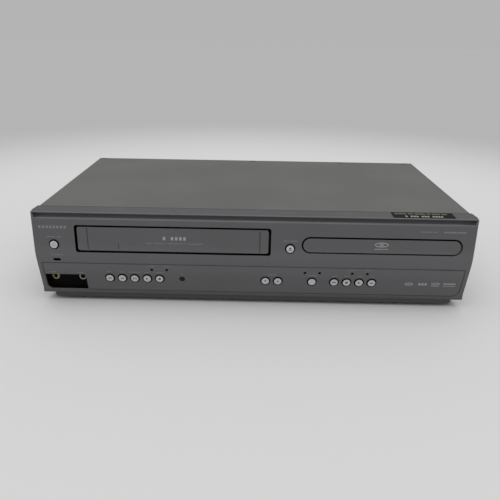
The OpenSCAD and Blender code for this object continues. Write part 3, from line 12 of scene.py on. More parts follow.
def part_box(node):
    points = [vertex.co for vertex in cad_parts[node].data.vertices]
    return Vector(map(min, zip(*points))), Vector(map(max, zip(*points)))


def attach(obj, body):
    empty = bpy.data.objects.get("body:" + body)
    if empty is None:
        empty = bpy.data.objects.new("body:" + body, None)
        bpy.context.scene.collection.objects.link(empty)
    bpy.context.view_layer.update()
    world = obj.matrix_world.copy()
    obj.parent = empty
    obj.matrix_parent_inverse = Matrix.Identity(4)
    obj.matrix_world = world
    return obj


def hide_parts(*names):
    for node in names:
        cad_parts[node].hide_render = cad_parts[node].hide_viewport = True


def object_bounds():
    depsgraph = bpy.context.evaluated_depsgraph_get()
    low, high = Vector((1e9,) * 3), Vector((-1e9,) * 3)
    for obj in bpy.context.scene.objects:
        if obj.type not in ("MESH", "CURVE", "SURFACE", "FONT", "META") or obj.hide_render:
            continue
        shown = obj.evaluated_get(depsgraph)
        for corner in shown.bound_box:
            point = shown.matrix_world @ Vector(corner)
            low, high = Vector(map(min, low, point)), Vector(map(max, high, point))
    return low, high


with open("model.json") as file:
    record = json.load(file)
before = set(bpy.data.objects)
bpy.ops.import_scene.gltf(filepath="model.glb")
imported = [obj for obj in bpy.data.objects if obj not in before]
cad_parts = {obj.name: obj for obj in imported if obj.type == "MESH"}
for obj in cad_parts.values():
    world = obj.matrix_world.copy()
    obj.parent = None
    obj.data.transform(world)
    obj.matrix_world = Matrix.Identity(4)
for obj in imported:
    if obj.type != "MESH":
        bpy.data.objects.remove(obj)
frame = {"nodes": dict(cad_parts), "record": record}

bl_info = {
    "name": "Disc and cassette deck",
    "version": (1, 0, 0),
    "blender": (4, 5, 0),
    "location": "3D View > Sidebar > Deck",
    "description": "Dresses the frame of a disc and cassette deck",
    "category": "Object",
}

MM = 0.001
CAD_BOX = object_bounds()


# ---------------------------------------------------------------- settings
def length(name, description, default):
    return FloatProperty(name=name, description=description, default=default,
                         subtype="DISTANCE", unit="LENGTH", min=0, precision=5)


def colour(name, description, default):
    return FloatVectorProperty(name=name, description=description, default=default,
                               subtype="COLOR", size=3, min=0, max=1)


class HousingSettings(PropertyGroup):
    edge: length("Edge rounding", "Radius on the housing's moulded edges", 0.3 * MM)
    cover: colour("Cover", "Paint of the top cover", (0.128, 0.128, 0.124))
    panel: colour("Panel", "Plastic of the front panel, flap and bezel", (0.092, 0.093, 0.097))
    chassis: colour("Chassis", "Plastic of the bottom chassis", (0.05, 0.05, 0.052))
    # near black that paints the shade inside the openings and gaps of the front panel
    recess: colour("Recess", "Inside of the openings of the front panel", (0.0025, 0.0025, 0.0028))
    lip: length("Cove lip", "Height of the slanted lip under the cove", 1.5 * MM)


class ControlSettings(PropertyGroup):
    rim: length("Button rim", "Rounding of a button's front rim", 0.35 * MM)
    button: colour("Buttons", "Plastic of the push buttons", (0.48, 0.49, 0.50))
    window: colour("Windows", "Smoked plastic of the indicator windows", (0.005, 0.004, 0.004))
    ink: colour("Ink", "Pale ink of the captions", (0.20, 0.20, 0.205))
    door_ink: colour("Door ink", "Brighter ink on the flap and the bezel", (0.32, 0.32, 0.33))
    symbol: colour("Symbols", "Dark ink on the buttons", (0.02, 0.02, 0.022))
    film: length("Ink film", "Thickness of the printed film", 0.03 * MM)


class LabelSettings(PropertyGroup):
    width: length("Label width", "Width of the label on the ledge", 61 * MM)
    depth: length("Label depth", "Depth of the label on the ledge", 15.0 * MM)
    film: length("Label film", "Thickness of the labels", 0.025 * MM)
    dark: colour("Label", "Dark foil of the label on the ledge", (0.010, 0.009, 0.0085))
    plate: colour("Plate", "Foil of the bare plate on the back", (0.45, 0.45, 0.44))


class StageSettings(PropertyGroup):
    # the floor is painted brighter near the deck and fades to the far tone, a painted pool of
    # light
    near: colour("Floor", "Floor round the deck", (0.681, 0.681, 0.678))
    far: colour("Backdrop", "Floor and air far behind the deck", (0.455, 0.455, 0.455))
    sky: FloatProperty(name="Sky", description="Strength of the even light", default=0.62, min=0)
    lamp: FloatProperty(name="Lamp", description="Strength of the soft lamp", default=1.19, min=0)
    lean: FloatProperty(name="Lean", description="Tilt of the lamp towards the front",
                        default=math.radians(15), subtype="ANGLE", unit="ROTATION")
    spread: FloatProperty(name="Spread", description="Apparent size of the lamp",
                          default=math.radians(75), subtype="ANGLE", unit="ROTATION", min=0)


SETTINGS = {"deck_housing": HousingSettings, "deck_controls": ControlSettings,
            "deck_labels": LabelSettings, "deck_stage": StageSettings}


def settings(context):
    """The groups of settings: housing, controls, labels and stage."""
    scene = context.scene
    return scene.deck_housing, scene.deck_controls, scene.deck_labels, scene.deck_stage


# ---------------------------------------------------------------- finishes
class Value:
    """A shader socket that takes part in Python sums."""

    def __init__(self, nodes, socket):
        self.nodes = nodes
        self.socket = socket

    def sum(self, operation, first, second):
        return self.nodes.get("ShaderNodeMath", {"operation": operation}, {0: first, 1: second})

    def __add__(self, other):
        return self.sum("ADD", self, other)

    __radd__ = __add__

    def __sub__(self, other):
        return self.sum("SUBTRACT", self, other)

    def __rsub__(self, other):
        return self.sum("SUBTRACT", other, self)

    def __mul__(self, other):
        return self.sum("MULTIPLY", self, other)

    __rmul__ = __mul__

    def least(self, other):
        return self.sum("MINIMUM", self, other)

    def most(self, other):
        return self.sum("MAXIMUM", self, other)


class Nodes:
    """A tree of shader nodes."""

    def __init__(self, tree):
        self.tree = tree

    def get(self, kind, options, inputs, output=0):
        """Adds a node, sets its options, feeds its inputs and returns one of its outputs."""
        node = self.tree.nodes.new(kind)
        for key, value in options.items():
            setattr(node, key, value)
        for key, value in inputs.items():
            self.feed(node.inputs[key], value)
        return Value(self, node.outputs[output])

    def feed(self, socket, value):
        if isinstance(value, Value):
            self.tree.links.new(value.socket, socket)
        elif socket.type == "RGBA":
            socket.default_value = (*value[:3], 1)
        else:
            socket.default_value = value


class Finish(Nodes):
    """One material, built from nodes."""

    def __init__(self, name):
        self.material = bpy.data.materials.new(name)
        self.material.use_nodes = True
        super().__init__(self.material.node_tree)
        self.shader = self.tree.nodes["Principled BSDF"]
        self.place = self.get("ShaderNodeTexCoord", {}, {}, "Object")

    def stretched(self, scale):
        return self.get("ShaderNodeMapping", {}, {"Vector": self.place, "Scale": scale})

    def noise(self, scale, detail=3.0, stretch=None):
        where = self.stretched(stretch) if stretch else self.place
        return self.get("ShaderNodeTexNoise", {}, {"Vector": where, "Scale": scale,
                                                   "Detail": detail}, "Fac")

    def cells(self, scale, feature="F1", stretch=None):
        where = self.stretched(stretch) if stretch else self.place
        return self.get("ShaderNodeTexVoronoi", {"feature": feature},
                        {"Vector": where, "Scale": scale}, "Distance")

    def tint_cells(self, scale):
        tint = self.get("ShaderNodeTexVoronoi", {},
                        {"Vector": self.place, "Scale": scale}, "Color")
        return self.get("ShaderNodeSeparateColor", {}, {0: tint}, 0)

    def ramp(self, value, low, high):
        return self.get("ShaderNodeMapRange", {"interpolation_type": "SMOOTHSTEP"},
                        {0: value, 1: low, 2: high})

    def axis(self, name):
        return self.get("ShaderNodeSeparateXYZ", {}, {0: self.place}, name)

    def mix(self, mask, first, second):
        return self.get("ShaderNodeMix", {"data_type": "RGBA"}, {0: mask, 6: first, 7: second}, 2)

    def scaled(self, mask, tone, share):
        return self.get("ShaderNodeMix", {"data_type": "RGBA", "blend_type": "MULTIPLY"},
                        {0: mask, 6: tone, 7: (share, share, share)}, 2)

    def bump(self, height, depth, strength):
        normal = self.get("ShaderNodeBump", {}, {"Height": height, "Distance": depth,
                                                 "Strength": strength})
        self.feed(self.shader.inputs["Normal"], normal)

    def set(self, **values):
        for name, value in values.items():
            self.feed(self.shader.inputs[name.replace("_", " ")], value)


def shade(base, factor):
    return tuple(min(1.0, c * factor) for c in base)


def moulded(name, base, grain=2600.0, gloss=0.5, bands=()):
    """Spark-eroded plastic with a fine even grain and faint handling marks.

    Each of the bands is painted light or shade, a share of the base colour and the limits it lies
    within; a limit is an axis, the place in mm where the band starts and the place where it is
    full.
    """
    f = Finish(name)
    grains = f.noise(grain, 2.0)
    cloud = f.noise(16.0, 4.0)
    smear = f.ramp(f.noise(34.0, 5.0, (1, 1, 2.6)), 0.56, 0.78)
    dust = f.ramp(f.noise(900.0, 2.0), 0.66, 0.8) * f.ramp(f.noise(9.0), 0.4, 0.7)
    mask = (cloud * 0.55 + grains * 0.45).least(1.0)
    tone = f.mix(mask, shade(base, 0.86), shade(base, 1.13))
    tone = f.mix(dust * 0.25, tone, shade(base, 2.2))
    # painted light and shade: each band scales the colour within its limits
    for share, *limits in bands:
        mask = 1.0
        for axis, start, full in limits:
            mask = f.ramp(f.axis(axis), start * MM, full * MM) * mask
        tone = f.scaled(mask, tone, share)
    f.set(Base_Color=tone, Roughness=smear * -0.14 + 0.56 + grains * 0.04,
          Specular_IOR_Level=gloss)
    f.bump(grains, 0.03 * MM, 0.6)
    return f


def painted(name, base):
    """Textured paint on sheet steel, with shallow scuffs and dust."""
    f = Finish(name)
    pebble = f.cells(1100.0)
    cloud = f.noise(11.0, 5.0)
    streak = f.ramp(f.noise(60.0, 3.0, (0.35, 3.0, 1.0)), 0.68, 0.74)
    streak = streak * f.ramp(f.noise(14.0), 0.52, 0.66)
    cross = f.ramp(f.noise(70.0, 2.0, (2.6, 0.3, 1.0)), 0.7, 0.75)
    cross = cross * f.ramp(f.noise(10.0), 0.5, 0.7)
    marks = streak.most(cross)
    dust = f.ramp(f.noise(1300.0, 2.0), 0.6, 0.78) * 0.5 + f.ramp(cloud, 0.35, 0.75) * 0.5
    tone = f.mix(cloud, shade(base, 0.9), shade(base, 1.1))
    tone = f.mix(dust * 0.16, tone, shade(base, 1.9))
    tone = f.mix(marks * 0.3, tone, shade(base, 1.8))
    f.set(Base_Color=tone, Roughness=0.55 + pebble * 0.1 - marks * 0.1, Specular_IOR_Level=0.25)
    f.bump(pebble + marks * -0.4, 0.05 * MM, 0.5)
    return f


def zinc(name):
    """Galvanised sheet with soft spangle."""
    f = Finish(name)
    spangle = f.tint_cells(170.0)
    fine = f.noise(1500.0, 3.0)
    stain = f.ramp(f.noise(24.0, 5.0), 0.52, 0.74)
    tone = f.mix(spangle, (0.44, 0.45, 0.46), (0.60, 0.61, 0.62))
    tone = f.mix(stain * 0.4, tone, (0.36, 0.35, 0.33))
    f.set(Base_Color=tone, Metallic=0.9, Roughness=0.32 + spangle * 0.16 + fine * 0.08)
    f.bump(fine * 0.4 + spangle * 0.2, 0.02 * MM, 0.5)
    return f


def bright(name, base, rough):
    """Machined metal with fine lines and a film of oil."""
    f = Finish(name)
    lines = f.noise(500.0, 3.0, (1, 1, 9))
    haze = f.noise(60.0, 4.0)
    tone = f.mix(haze, shade(base, 0.85), base)
    f.set(Base_Color=tone, Metallic=1.0, Roughness=rough + lines * 0.14 + haze * 0.06)
    f.bump(lines, 0.008 * MM, 0.4)
    return f


def nylon(name):
    """Waxy off-white plastic with grease in places."""
    f = Finish(name)
    cloud = f.noise(90.0, 4.0)
    grease = f.ramp(f.noise(40.0, 3.0), 0.6, 0.75)
    tone = f.mix(cloud, (0.60, 0.59, 0.54), (0.74, 0.73, 0.68))
    tone = f.mix(grease * 0.35, tone, (0.42, 0.38, 0.30))
    f.set(Base_Color=tone, Roughness=0.42 - grease * 0.14)
    f.bump(f.noise(1800.0, 2.0), 0.02 * MM, 0.4)
    return f


def rubbery(name):
    """Black rubber with a dull bloom."""
    f = Finish(name)
    fine = f.noise(2200.0, 3.0)
    bloom = f.ramp(f.noise(120.0, 4.0), 0.45, 0.8)
    tone = f.mix(bloom, (0.014, 0.014, 0.015), (0.045, 0.044, 0.043))
    f.set(Base_Color=tone, Roughness=0.72 + fine * 0.16)
    f.bump(fine, 0.04 * MM, 0.6)
    return f


def glassy(name, base):
    """Smooth dark plastic with a slight haze."""
    f = Finish(name)
    haze = f.noise(300.0, 3.0)
    f.set(Base_Color=f.mix(haze, shade(base, 0.7), shade(base, 1.4)),
          Roughness=0.2 + f.ramp(haze, 0.5, 0.8) * 0.14, Specular_IOR_Level=0.25)
    f.bump(f.noise(700.0), 0.01 * MM, 0.2)
    return f


def button_finish(name, base):
    """Fine-grained plastic with grime in places."""
    f = Finish(name)
    fine = f.noise(2400.0, 2.0)
    grime = f.ramp(f.noise(420.0, 4.0), 0.5, 0.8)
    tone = f.mix(fine, shade(base, 0.94), shade(base, 1.05))
    tone = f.mix(grime * 0.3, tone, shade(base, 0.7))
    f.set(Base_Color=tone, Roughness=0.34 + fine * 0.12 + grime * 0.1)
    f.bump(fine, 0.015 * MM, 0.4)
    return f


def board_finish(name):
    """Lacquered circuit board with copper lanes and tinned pads."""
    f = Finish(name)
    lanes = f.cells(260.0, "DISTANCE_TO_EDGE", (1, 1, 0))
    copper = f.ramp(lanes, 0.08, 0.14)
    pads = 1 - f.ramp(f.cells(420.0, "F1", (1, 1, 0)), 0.16, 0.2)
    green = f.mix(copper, (0.012, 0.06, 0.026), (0.025, 0.115, 0.05))
    green = f.mix(pads, green, (0.42, 0.42, 0.40))
    f.set(Base_Color=green, Roughness=0.34 + copper * 0.1)
    f.bump(copper, 0.04 * MM, 0.5)
    return f


def ink_finish(name, base, gloss=0.5):
    """Thin ink or foil, slightly worn."""
    f = Finish(name)
    wear = f.noise(1600.0, 3.0)
    f.set(Base_Color=f.mix(f.ramp(wear, 0.55, 0.8), base, shade(base, 0.72)),
          Roughness=0.5 + wear * 0.12, Specular_IOR_Level=gloss)
    f.bump(wear, 0.01 * MM, 0.3)
    return f


FINISHES = {}

# Painted light and shade on the front panel: each band lightens or darkens the plastic where the
# lamp lights it more or less.
PANEL_PAINTED_LIGHT = (
    (0.76, ("Z", 14, 12)),                          # painted shade on the foot of the lower panel, where it turns under
    (1.13, ("Z", 30, 42), ("Z", 70, 60)),           # painted light across the middle of the panel, where its bulge faces up
    (1.35, ("Z", 92.75, 93), ("Z", 94.15, 94)),     # painted highlight on the lip under the cove
    (0.92, ("Z", 98.5, 99)),                        # painted shade on the top of the ledge
    (0.5, ("Z", 98.5, 99), ("Y", -100.8, -100)),    # painted shadow at the back of the ledge, next to the cover
    (1.35, ("Z", 98.5, 98.8), ("Y", -114.3, -115)),     # painted highlight on the front rim of the ledge
)
CHASSIS_PAINTED_SHADE = ((0.3, ("Z", 5.4, 3.6)),)           # painted shade along the foot of the strip, next to the floor


def make_finishes(context):
    housing, controls, labels, _ = settings(context)
    FINISHES.update({
        "cover_paint": painted("cover_paint", housing.cover),
        "panel_plastic": moulded("panel_plastic", housing.panel, bands=PANEL_PAINTED_LIGHT),
        "chassis_plastic": moulded("chassis_plastic", housing.chassis, 1800.0,
                                   bands=CHASSIS_PAINTED_SHADE),
        "zinc_steel": zinc("zinc_steel"),
        "polished_steel": bright("polished_steel", (0.72, 0.73, 0.74), 0.16),
        "black_plastic": moulded("black_plastic", (0.022, 0.022, 0.024), 1500.0),
        "smoked_window": glassy("smoked_window", controls.window),
        "button_plastic": button_finish("button_plastic", controls.button),
        "white_nylon": nylon("white_nylon"),
        "jack_plastic": moulded("jack_plastic", (0.02, 0.02, 0.02), 1500.0),
        "circuit_board": board_finish("circuit_board"),
        "rubber": rubbery("rubber"),
        "drum_metal": bright("drum_metal", (0.78, 0.79, 0.80), 0.2),
        "screw_metal": bright("screw_metal", (0.10, 0.10, 0.11), 0.3),
        # near black: painted shade inside openings, gaps and round the buttons and doors; also the
        # black on the front jacks and the flap's scratch
        "black_and_shade": moulded("black_and_shade", housing.recess, 1500.0, gloss=0.06),
        "window_black": moulded("window_black", shade(housing.recess, 0.4), 1500.0, gloss=0),
        "caption_ink": ink_finish("caption_ink", controls.ink),
        "door_ink": ink_finish("door_ink", controls.door_ink),
        "symbol_ink": ink_finish("symbol_ink", controls.symbol),
        "grey_ink": ink_finish("grey_ink", (0.20, 0.20, 0.21)),
        "scratch_grey": ink_finish("scratch_grey", shade(housing.panel, 0.45), 0.2),
        "label_foil": ink_finish("label_foil", labels.dark, 0.1),
        "plate_foil": ink_finish("plate_foil", labels.plate),
        "label_ink": ink_finish("label_ink", (0.34, 0.31, 0.26)),
        "label_small_ink": ink_finish("label_small_ink", (0.17, 0.155, 0.13)),
        "sleeve_metal": bright("sleeve_metal", (0.70, 0.68, 0.62), 0.22),
        "coil_tape": moulded("coil_tape", (0.50, 0.33, 0.05), 900.0),
        "yellow": moulded("yellow", (0.26, 0.21, 0.06), 1500.0),
        "pale": moulded("pale", (0.29, 0.28, 0.21), 1500.0),
        "white": moulded("white", (0.62, 0.61, 0.58), 1500.0),
        "red": moulded("red", (0.40, 0.02, 0.02), 1500.0),
        "green": moulded("green", (0.03, 0.22, 0.06), 1500.0),
        "blue": moulded("blue", (0.03, 0.08, 0.36), 1500.0),
    })


def dress(piece, *names):
    if piece.data.materials:
        piece.data.materials.clear()
    for name in names:
        piece.data.materials.append(FINISHES[name].material)


# ---------------------------------------------------------------- shapes
MERGE = 0.03 * MM                   # vertices nearer than this become one
SNAP = 0.25 * MM                    # a cut moves onto vertices nearer than this
FLAT = math.radians(0.3)            # faces that meet at less than this are joined
CREASE = math.radians(35)           # edges sharper than this are rounded
SHARP = math.radians(32)            # edges sharper than this stay sharp in the shading
SQUARE_ON = 0.6                     # a face is square to an axis with more of its normal on it
SHEET_EDGE = 0.25 * MM              # radii of edges
FOOT_EDGE = 0.8 * MM
WINDOW_EDGE = 0.1 * MM
JACK_EDGE = 0.3 * MM
BOARD_EDGE = 0.2 * MM
GLAND_EDGE = 0.4 * MM
NODE_SLOT = {part["node"]: part["material_slot"] for part in frame["record"]["subparts"]}
NODE_BODY = {node: body for body, members in frame["record"]["behaviour"]["bodies"].items()
             for node in members}
BOXES = {node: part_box(node) for node in frame["nodes"]}
BUTTONS = [node for node in BOXES if node.startswith("button_")]
FRONT = CAD_BOX[0][1]


def middle(node):
    """Place of a node's middle in the front view, in millimetres."""
    low, high = BOXES[node]
    return (low.x + high.x) / 2 / MM, (low.z + high.z) / 2 / MM


def settle(shape, name, body, slot, *finishes):
    """Turns a finished bmesh into a piece that rides on a body."""
    mesh = bpy.data.meshes.new(name)
    shape.to_mesh(mesh)
    shape.free()
    piece = bpy.data.objects.new(name, mesh)
    bpy.context.scene.collection.objects.link(piece)
    dress(piece, *(finishes or (slot,)))
    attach(piece, body) or piece
    return piece


def node_shape(node):
    """A merged copy of a node's mesh."""
    shape = bmesh.new()
    shape.from_mesh(frame["nodes"][node].data)
    bmesh.ops.remove_doubles(shape, verts=shape.verts, dist=MERGE)
    return shape


def whole(shape):
    return shape.verts[:] + shape.edges[:] + shape.faces[:]


def cut(shape, axis, places):
    """Cuts a shape into slices along an axis, so that its faces stay compact."""
    seam = shape.edges.layers.int.get("seam") or shape.edges.layers.int.new("seam")
    normal = Vector([float(axis == index) for index in range(3)])
    for place in places:
        found = bmesh.ops.bisect_plane(shape, geom=whole(shape), dist=SNAP,
                                       plane_co=normal * place, plane_no=normal)
        for item in found["geom_cut"]:
            if isinstance(item, bmesh.types.BMEdge):
                item[seam] = 1


def spread(places, low, high, widest):
    """The places in order, with more between them where two are further apart than widest."""
    places = [low, *sorted(places), high]
    for first, second in zip(places, places[1:]):
        steps = math.ceil((second - first) / widest)
        yield from (first + (second - first) * step / steps for step in range(steps))


def softened(node, radius, segments=2, finishes=(), choose=None, share=None, slices=(),
             form=None):
    """The node again with rounded edges, in place of the plain one.

    choose gives a face its finish, share an edge its part of the radius, slices cuts the shape
    along an axis at some places, and form works on it before its edges are rounded.
    """
    shape = node_shape(node)
    for axis, places in slices:
        cut(shape, axis, places)
    if slices:
        seam = shape.edges.layers.int["seam"]
        inner = [edge for edge in shape.edges if not edge[seam] and len(edge.link_faces) == 2]
        bmesh.ops.dissolve_limit(shape, angle_limit=FLAT, verts=[], edges=inner)
        spare = [vert for vert in shape.verts if len(vert.link_edges) == 2
                 and all(edge[seam] for edge in vert.link_edges)]
        bmesh.ops.dissolve_verts(shape, verts=spare)
    if form:
        form(shape)
    for face in shape.faces:
        face.material_index = choose(face) if choose else 0
    weight = shape.edges.layers.float.new("bevel_weight_edge")
    for edge in shape.edges:
        if len(edge.link_faces) == 2 and edge.calc_face_angle() > CREASE:
            edge[weight] = share(edge) if share else 1.0
    piece = settle(shape, node + "_dressed", NODE_BODY[node], NODE_SLOT[node], *finishes)
    piece.data.shade_smooth()
    piece.data.set_sharp_from_angle(angle=SHARP)
    bevel = piece.modifiers.new("Rounded edges", "BEVEL")
    bevel.width = radius
    bevel.segments = segments
    bevel.limit_method = "WEIGHT"
    bevel.use_clamp_overlap = False
    bevel.loop_slide = False
    even = piece.modifiers.new("Even shading", "WEIGHTED_NORMAL")
    even.keep_sharp = True
    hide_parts(node)
    return piece


FAR = 0.6                           # marks start this far out, beyond the whole deck
SUNK = 0.01 * MM                    # depth of a film's foot in the node it lies on
FILM = 0.03 * MM
BAR_CELL = (6, 3)                   # mm; about the width and height of a bar's faces

FACINGS = {
    "front": Matrix(((1, 0, 0), (0, 0, -1), (0, 1, 0))),
    "top": Matrix(((1, 0, 0), (0, 1, 0), (0, 0, 1))),
    "rear": Matrix(((-1, 0, 0), (0, 0, 1), (0, 1, 0))),
}


class Print:
    """Flat marks in millimetres, laid on the face of a carrier as a thin film."""

    def __init__(self, facing="front"):
        self.turn = FACINGS[facing]
        self.shape = bmesh.new()

    def at(self, u, v, angle, w, h):
        return (Matrix.Translation((u * MM, v * MM, 0))
                @ Matrix.Rotation(math.radians(angle), 4, "Z")
                @ Matrix.Diagonal((w * MM, h * MM, 1, 1)))

    def bar(self, u, v, w, h, angle=0.0):
        bmesh.ops.create_grid(self.shape, x_segments=max(1, round(w / BAR_CELL[0])),
                              y_segments=max(1, round(h / BAR_CELL[1])), size=0.5,
                              matrix=self.at(u, v, angle, w, h))

    def disc(self, u, v, r):
        bmesh.ops.create_circle(self.shape, cap_ends=True, segments=20, radius=1,
                                matrix=self.at(u, v, 0, r, r))

    def ring(self, u, v, r, width, gap=0.0, squash=1.0):
        """A ring, open at its top by the angle gap, flattened by squash."""
        loops = set()
        for reach in (r, r - width):
            rise = reach * squash + (reach - r) * (1 - squash)
            made = bmesh.ops.create_circle(self.shape, segments=28, radius=1,
                                           matrix=self.at(u, v, 0, reach, rise))
            loops.update(edge for vert in made["verts"] for edge in vert.link_edges)
        faces = bmesh.ops.bridge_loops(self.shape, edges=list(loops))["faces"]
        centre, up = Vector((u * MM, v * MM, 0)), Vector((0, 1, 0))
        away = [face for face in faces
                if up.angle(face.calc_center_median() - centre) < math.radians(gap / 2)]
        if away:
            bmesh.ops.delete(self.shape, geom=away, context="FACES")

    def arrow(self, u, v, w, h, angle=0.0):
        """Triangle with a base of w and a height of h; it points up, or left at 90 degrees.

        In a circle of radius 1 the base is 1 / 0.58 long and the height 1 / 0.67.
        """
        bmesh.ops.create_circle(self.shape, cap_ends=True, segments=3, radius=1,
                                matrix=self.at(u, v, angle, w * 0.58, h * 0.67))

    def words(self, u0, u1, v, h, lengths, space=1.0, fill=0.72):
        """A line of small blocks where a caption stands, one count for each word."""
        pitch = (u1 - u0) / (sum(lengths) + space * (len(lengths) - 1))
        u = u0
        for count in lengths:
            for place in range(count):
                self.bar(u + (place + 0.5) * pitch, v, pitch * fill, h)
            u += (count + space) * pitch

    def lay(self, name, node, ink, film=FILM):
        """Drops the marks onto a node and makes a thin piece of them."""
        shape = self.shape
        carrier = frame["nodes"][node]
        bmesh.ops.transform(shape, matrix=self.turn.to_4x4(), verts=shape.verts)
        out = self.turn @ Vector((0, 0, 1))
        solid = BVHTree.FromPolygons(
            [v.co.copy() for v in carrier.data.vertices],
            [tuple(p.vertices) for p in carrier.data.polygons])
        for vert in shape.verts:
            start = vert.co - out * vert.co.dot(out) + out * FAR
            hit = solid.ray_cast(start, -out)[0]
            if hit is None:
                raise RuntimeError(f"{name}: a mark misses {node} at {tuple(vert.co)}")
            vert.co = hit - out * SUNK
        faces = bmesh.ops.extrude_face_region(shape, geom=shape.faces[:])
        raised = [item for item in faces["geom"] if isinstance(item, bmesh.types.BMVert)]
        bmesh.ops.translate(shape, vec=out * (film + SUNK), verts=raised)
        bmesh.ops.recalc_face_normals(shape, faces=shape.faces)
        return settle(shape, name, NODE_BODY[node], NODE_SLOT[node], ink)


# ---------------------------------------------------------------- operators
class DECK_OT_finishes(Operator):
    """Make the finishes and give one to every node of the frame"""
    bl_idname = "deck.finishes"
    bl_label = "Finishes"

    def execute(self, context):
        make_finishes(context)
        for node, piece in frame["nodes"].items():
            dress(piece, NODE_SLOT[node])
        return {"FINISHED"}


BORE_REACH = 5.3                    # mm round a button that belong to its bore
OPENINGS = (("cassette_flap", 2.8, 2.8), ("front_av_jacks", 3.2, 0.3))  # mm beside, above, below
OPENING_TOP = 88.5 * MM
WALLS = (FRONT + 0.9 * MM, FRONT + 18 * MM)     # the walls lie between these depths
SKIN = FRONT + 11 * MM              # up to here, faces turned forwards or back aren't walls


def opening_walls(face):
    """1 on the faces inside the front panel's openings, which are painted near black as shade."""
    place = face.calc_center_median()
    if not WALLS[0] <= place.y <= WALLS[1]:
        return 0
    if abs(face.normal.y) > SQUARE_ON and place.y < SKIN:
        return 0
    for u, v in map(middle, BUTTONS):
        if math.hypot(place.x / MM - u, place.z / MM - v) < BORE_REACH:
            return 1
    for node, side, over in OPENINGS:
        low, high = BOXES[node]
        if (low.x - side * MM < place.x < high.x + side * MM and place.z < OPENING_TOP
                and low.z - over * MM < place.z < high.z + over * MM):
            return 1
    return 0


BROW_BACK = FRONT + 10 * MM
BROW_HEIGHTS = (93.9 * MM, 99.1 * MM)
BROW_RIM = 98.8 * MM                # the small faces of the brow's rim start here
COVE_ENDS = (214 * MM, 218.3 * MM)  # the cove's end walls lie between these, on both sides
RIM_SHARE = 0.25


def brow_share(edge):
    """How much of the front panel's rounding an edge gets: less where its faces are too small."""
    place = (edge.verts[0].co + edge.verts[1].co) / 2
    if place.y > BROW_BACK or not BROW_HEIGHTS[0] < place.z < BROW_HEIGHTS[1]:
        return 1.0
    if COVE_ENDS[0] < abs(place.x) < COVE_ENDS[1]:
        return 0.0
    return RIM_SHARE if place.z > BROW_RIM else 1.0


COVE_BACK = FRONT + 6 * MM
COVE_HEIGHTS = (93 * MM, 95 * MM)   # the cove's front edge lies between these
LIP_END = CAD_BOX[1][0] - 3.9 * MM  # the lip stops short of the cove's end walls
LIP_SLANT = 0.9                     # how far the lip goes back, as a share of its height
LIP_REACH = 0.5 * MM                # the lip takes in vertices up to this above it
LONG = 2 * MM                       # the cove's front edge has only edges longer than this
NEAR = 0.02 * MM
WELD = 0.002 * MM
EXACT = 0.001 * MM


def slanted_lip(shape, height):
    """Slants the front panel's edge under the cove, down to one height below it."""
    def under_cove(vert):
        return vert.co.y < COVE_BACK and COVE_HEIGHTS[0] < vert.co.z < COVE_HEIGHTS[1]

    def is_long_crease(edge, vert):
        return (abs(edge.other_vert(vert).co.x - vert.co.x) > LONG
                and edge.calc_face_angle(0) > CREASE)

    low = min(vert.co.z for vert in shape.verts if under_cove(vert)
              and any(is_long_crease(edge, vert) for edge in vert.link_edges))
    bmesh.ops.bisect_plane(shape, geom=whole(shape), dist=EXACT,
                           plane_co=(0, 0, low - height), plane_no=(0, 0, 1))
    lip = [vert for vert in shape.verts if abs(vert.co.z - low) < NEAR
           and vert.co.y < COVE_BACK and abs(vert.co.x) < LIP_END]
    back = min(vert.co.y for vert in lip) + LIP_SLANT * height
    for vert in shape.verts:
        if (vert.co.y < back and low - NEAR < vert.co.z < low + LIP_REACH
                and abs(vert.co.x) < LIP_END):
            vert.co.y = back
            vert.co.z = low + NEAR
    bmesh.ops.remove_doubles(shape, verts=shape.verts, dist=WELD)


WIDEST_SLICE = (20 * MM, 16 * MM)   # of the panel, across and upwards
SLICE_HEIGHTS = (29.0, 39.5, 50.1, 66.7)    # mm; the panel is sliced there too
RECEIVER = (-72.7, 29.0, 3.0)       # middle and reach of the remote window, in mm


def receiver(face):
    """1 on the remote window, which is smoked."""
    place = face.calc_center_median()
    u, v, reach = RECEIVER
    return 1 if math.hypot(place.x / MM - u, place.z / MM - v) < reach else 0


class DECK_OT_housing(Operator):
    """Round the edges of the cover, the front panel, the chassis, the feet and the windows"""
    bl_idname = "deck.housing"
    bl_label = "Housing"

    def execute(self, context):
        housing = settings(context)[0]
        low, high = BOXES["front_panel"]
        columns = {middle(node)[0] * MM for node in BUTTONS}
        rows = {v * MM for v in SLICE_HEIGHTS}
        softened("front_panel", housing.edge, 2, ("panel_plastic", "black_and_shade"),
                 opening_walls, brow_share,
                 ((0, spread(columns, low.x, high.x, WIDEST_SLICE[0])),
                  (2, spread(rows, low.z, high.z, WIDEST_SLICE[1]))),
                 lambda shape: slanted_lip(shape, housing.lip))
        softened("top_cover", SHEET_EDGE)
        softened("bottom_chassis", housing.edge)
        softened("feet", FOOT_EDGE, 3)
        softened("cover_screws", SHEET_EDGE)
        softened("panel_windows", WINDOW_EDGE, 2, ("window_black", "smoked_window"), receiver)
        return {"FINISHED"}


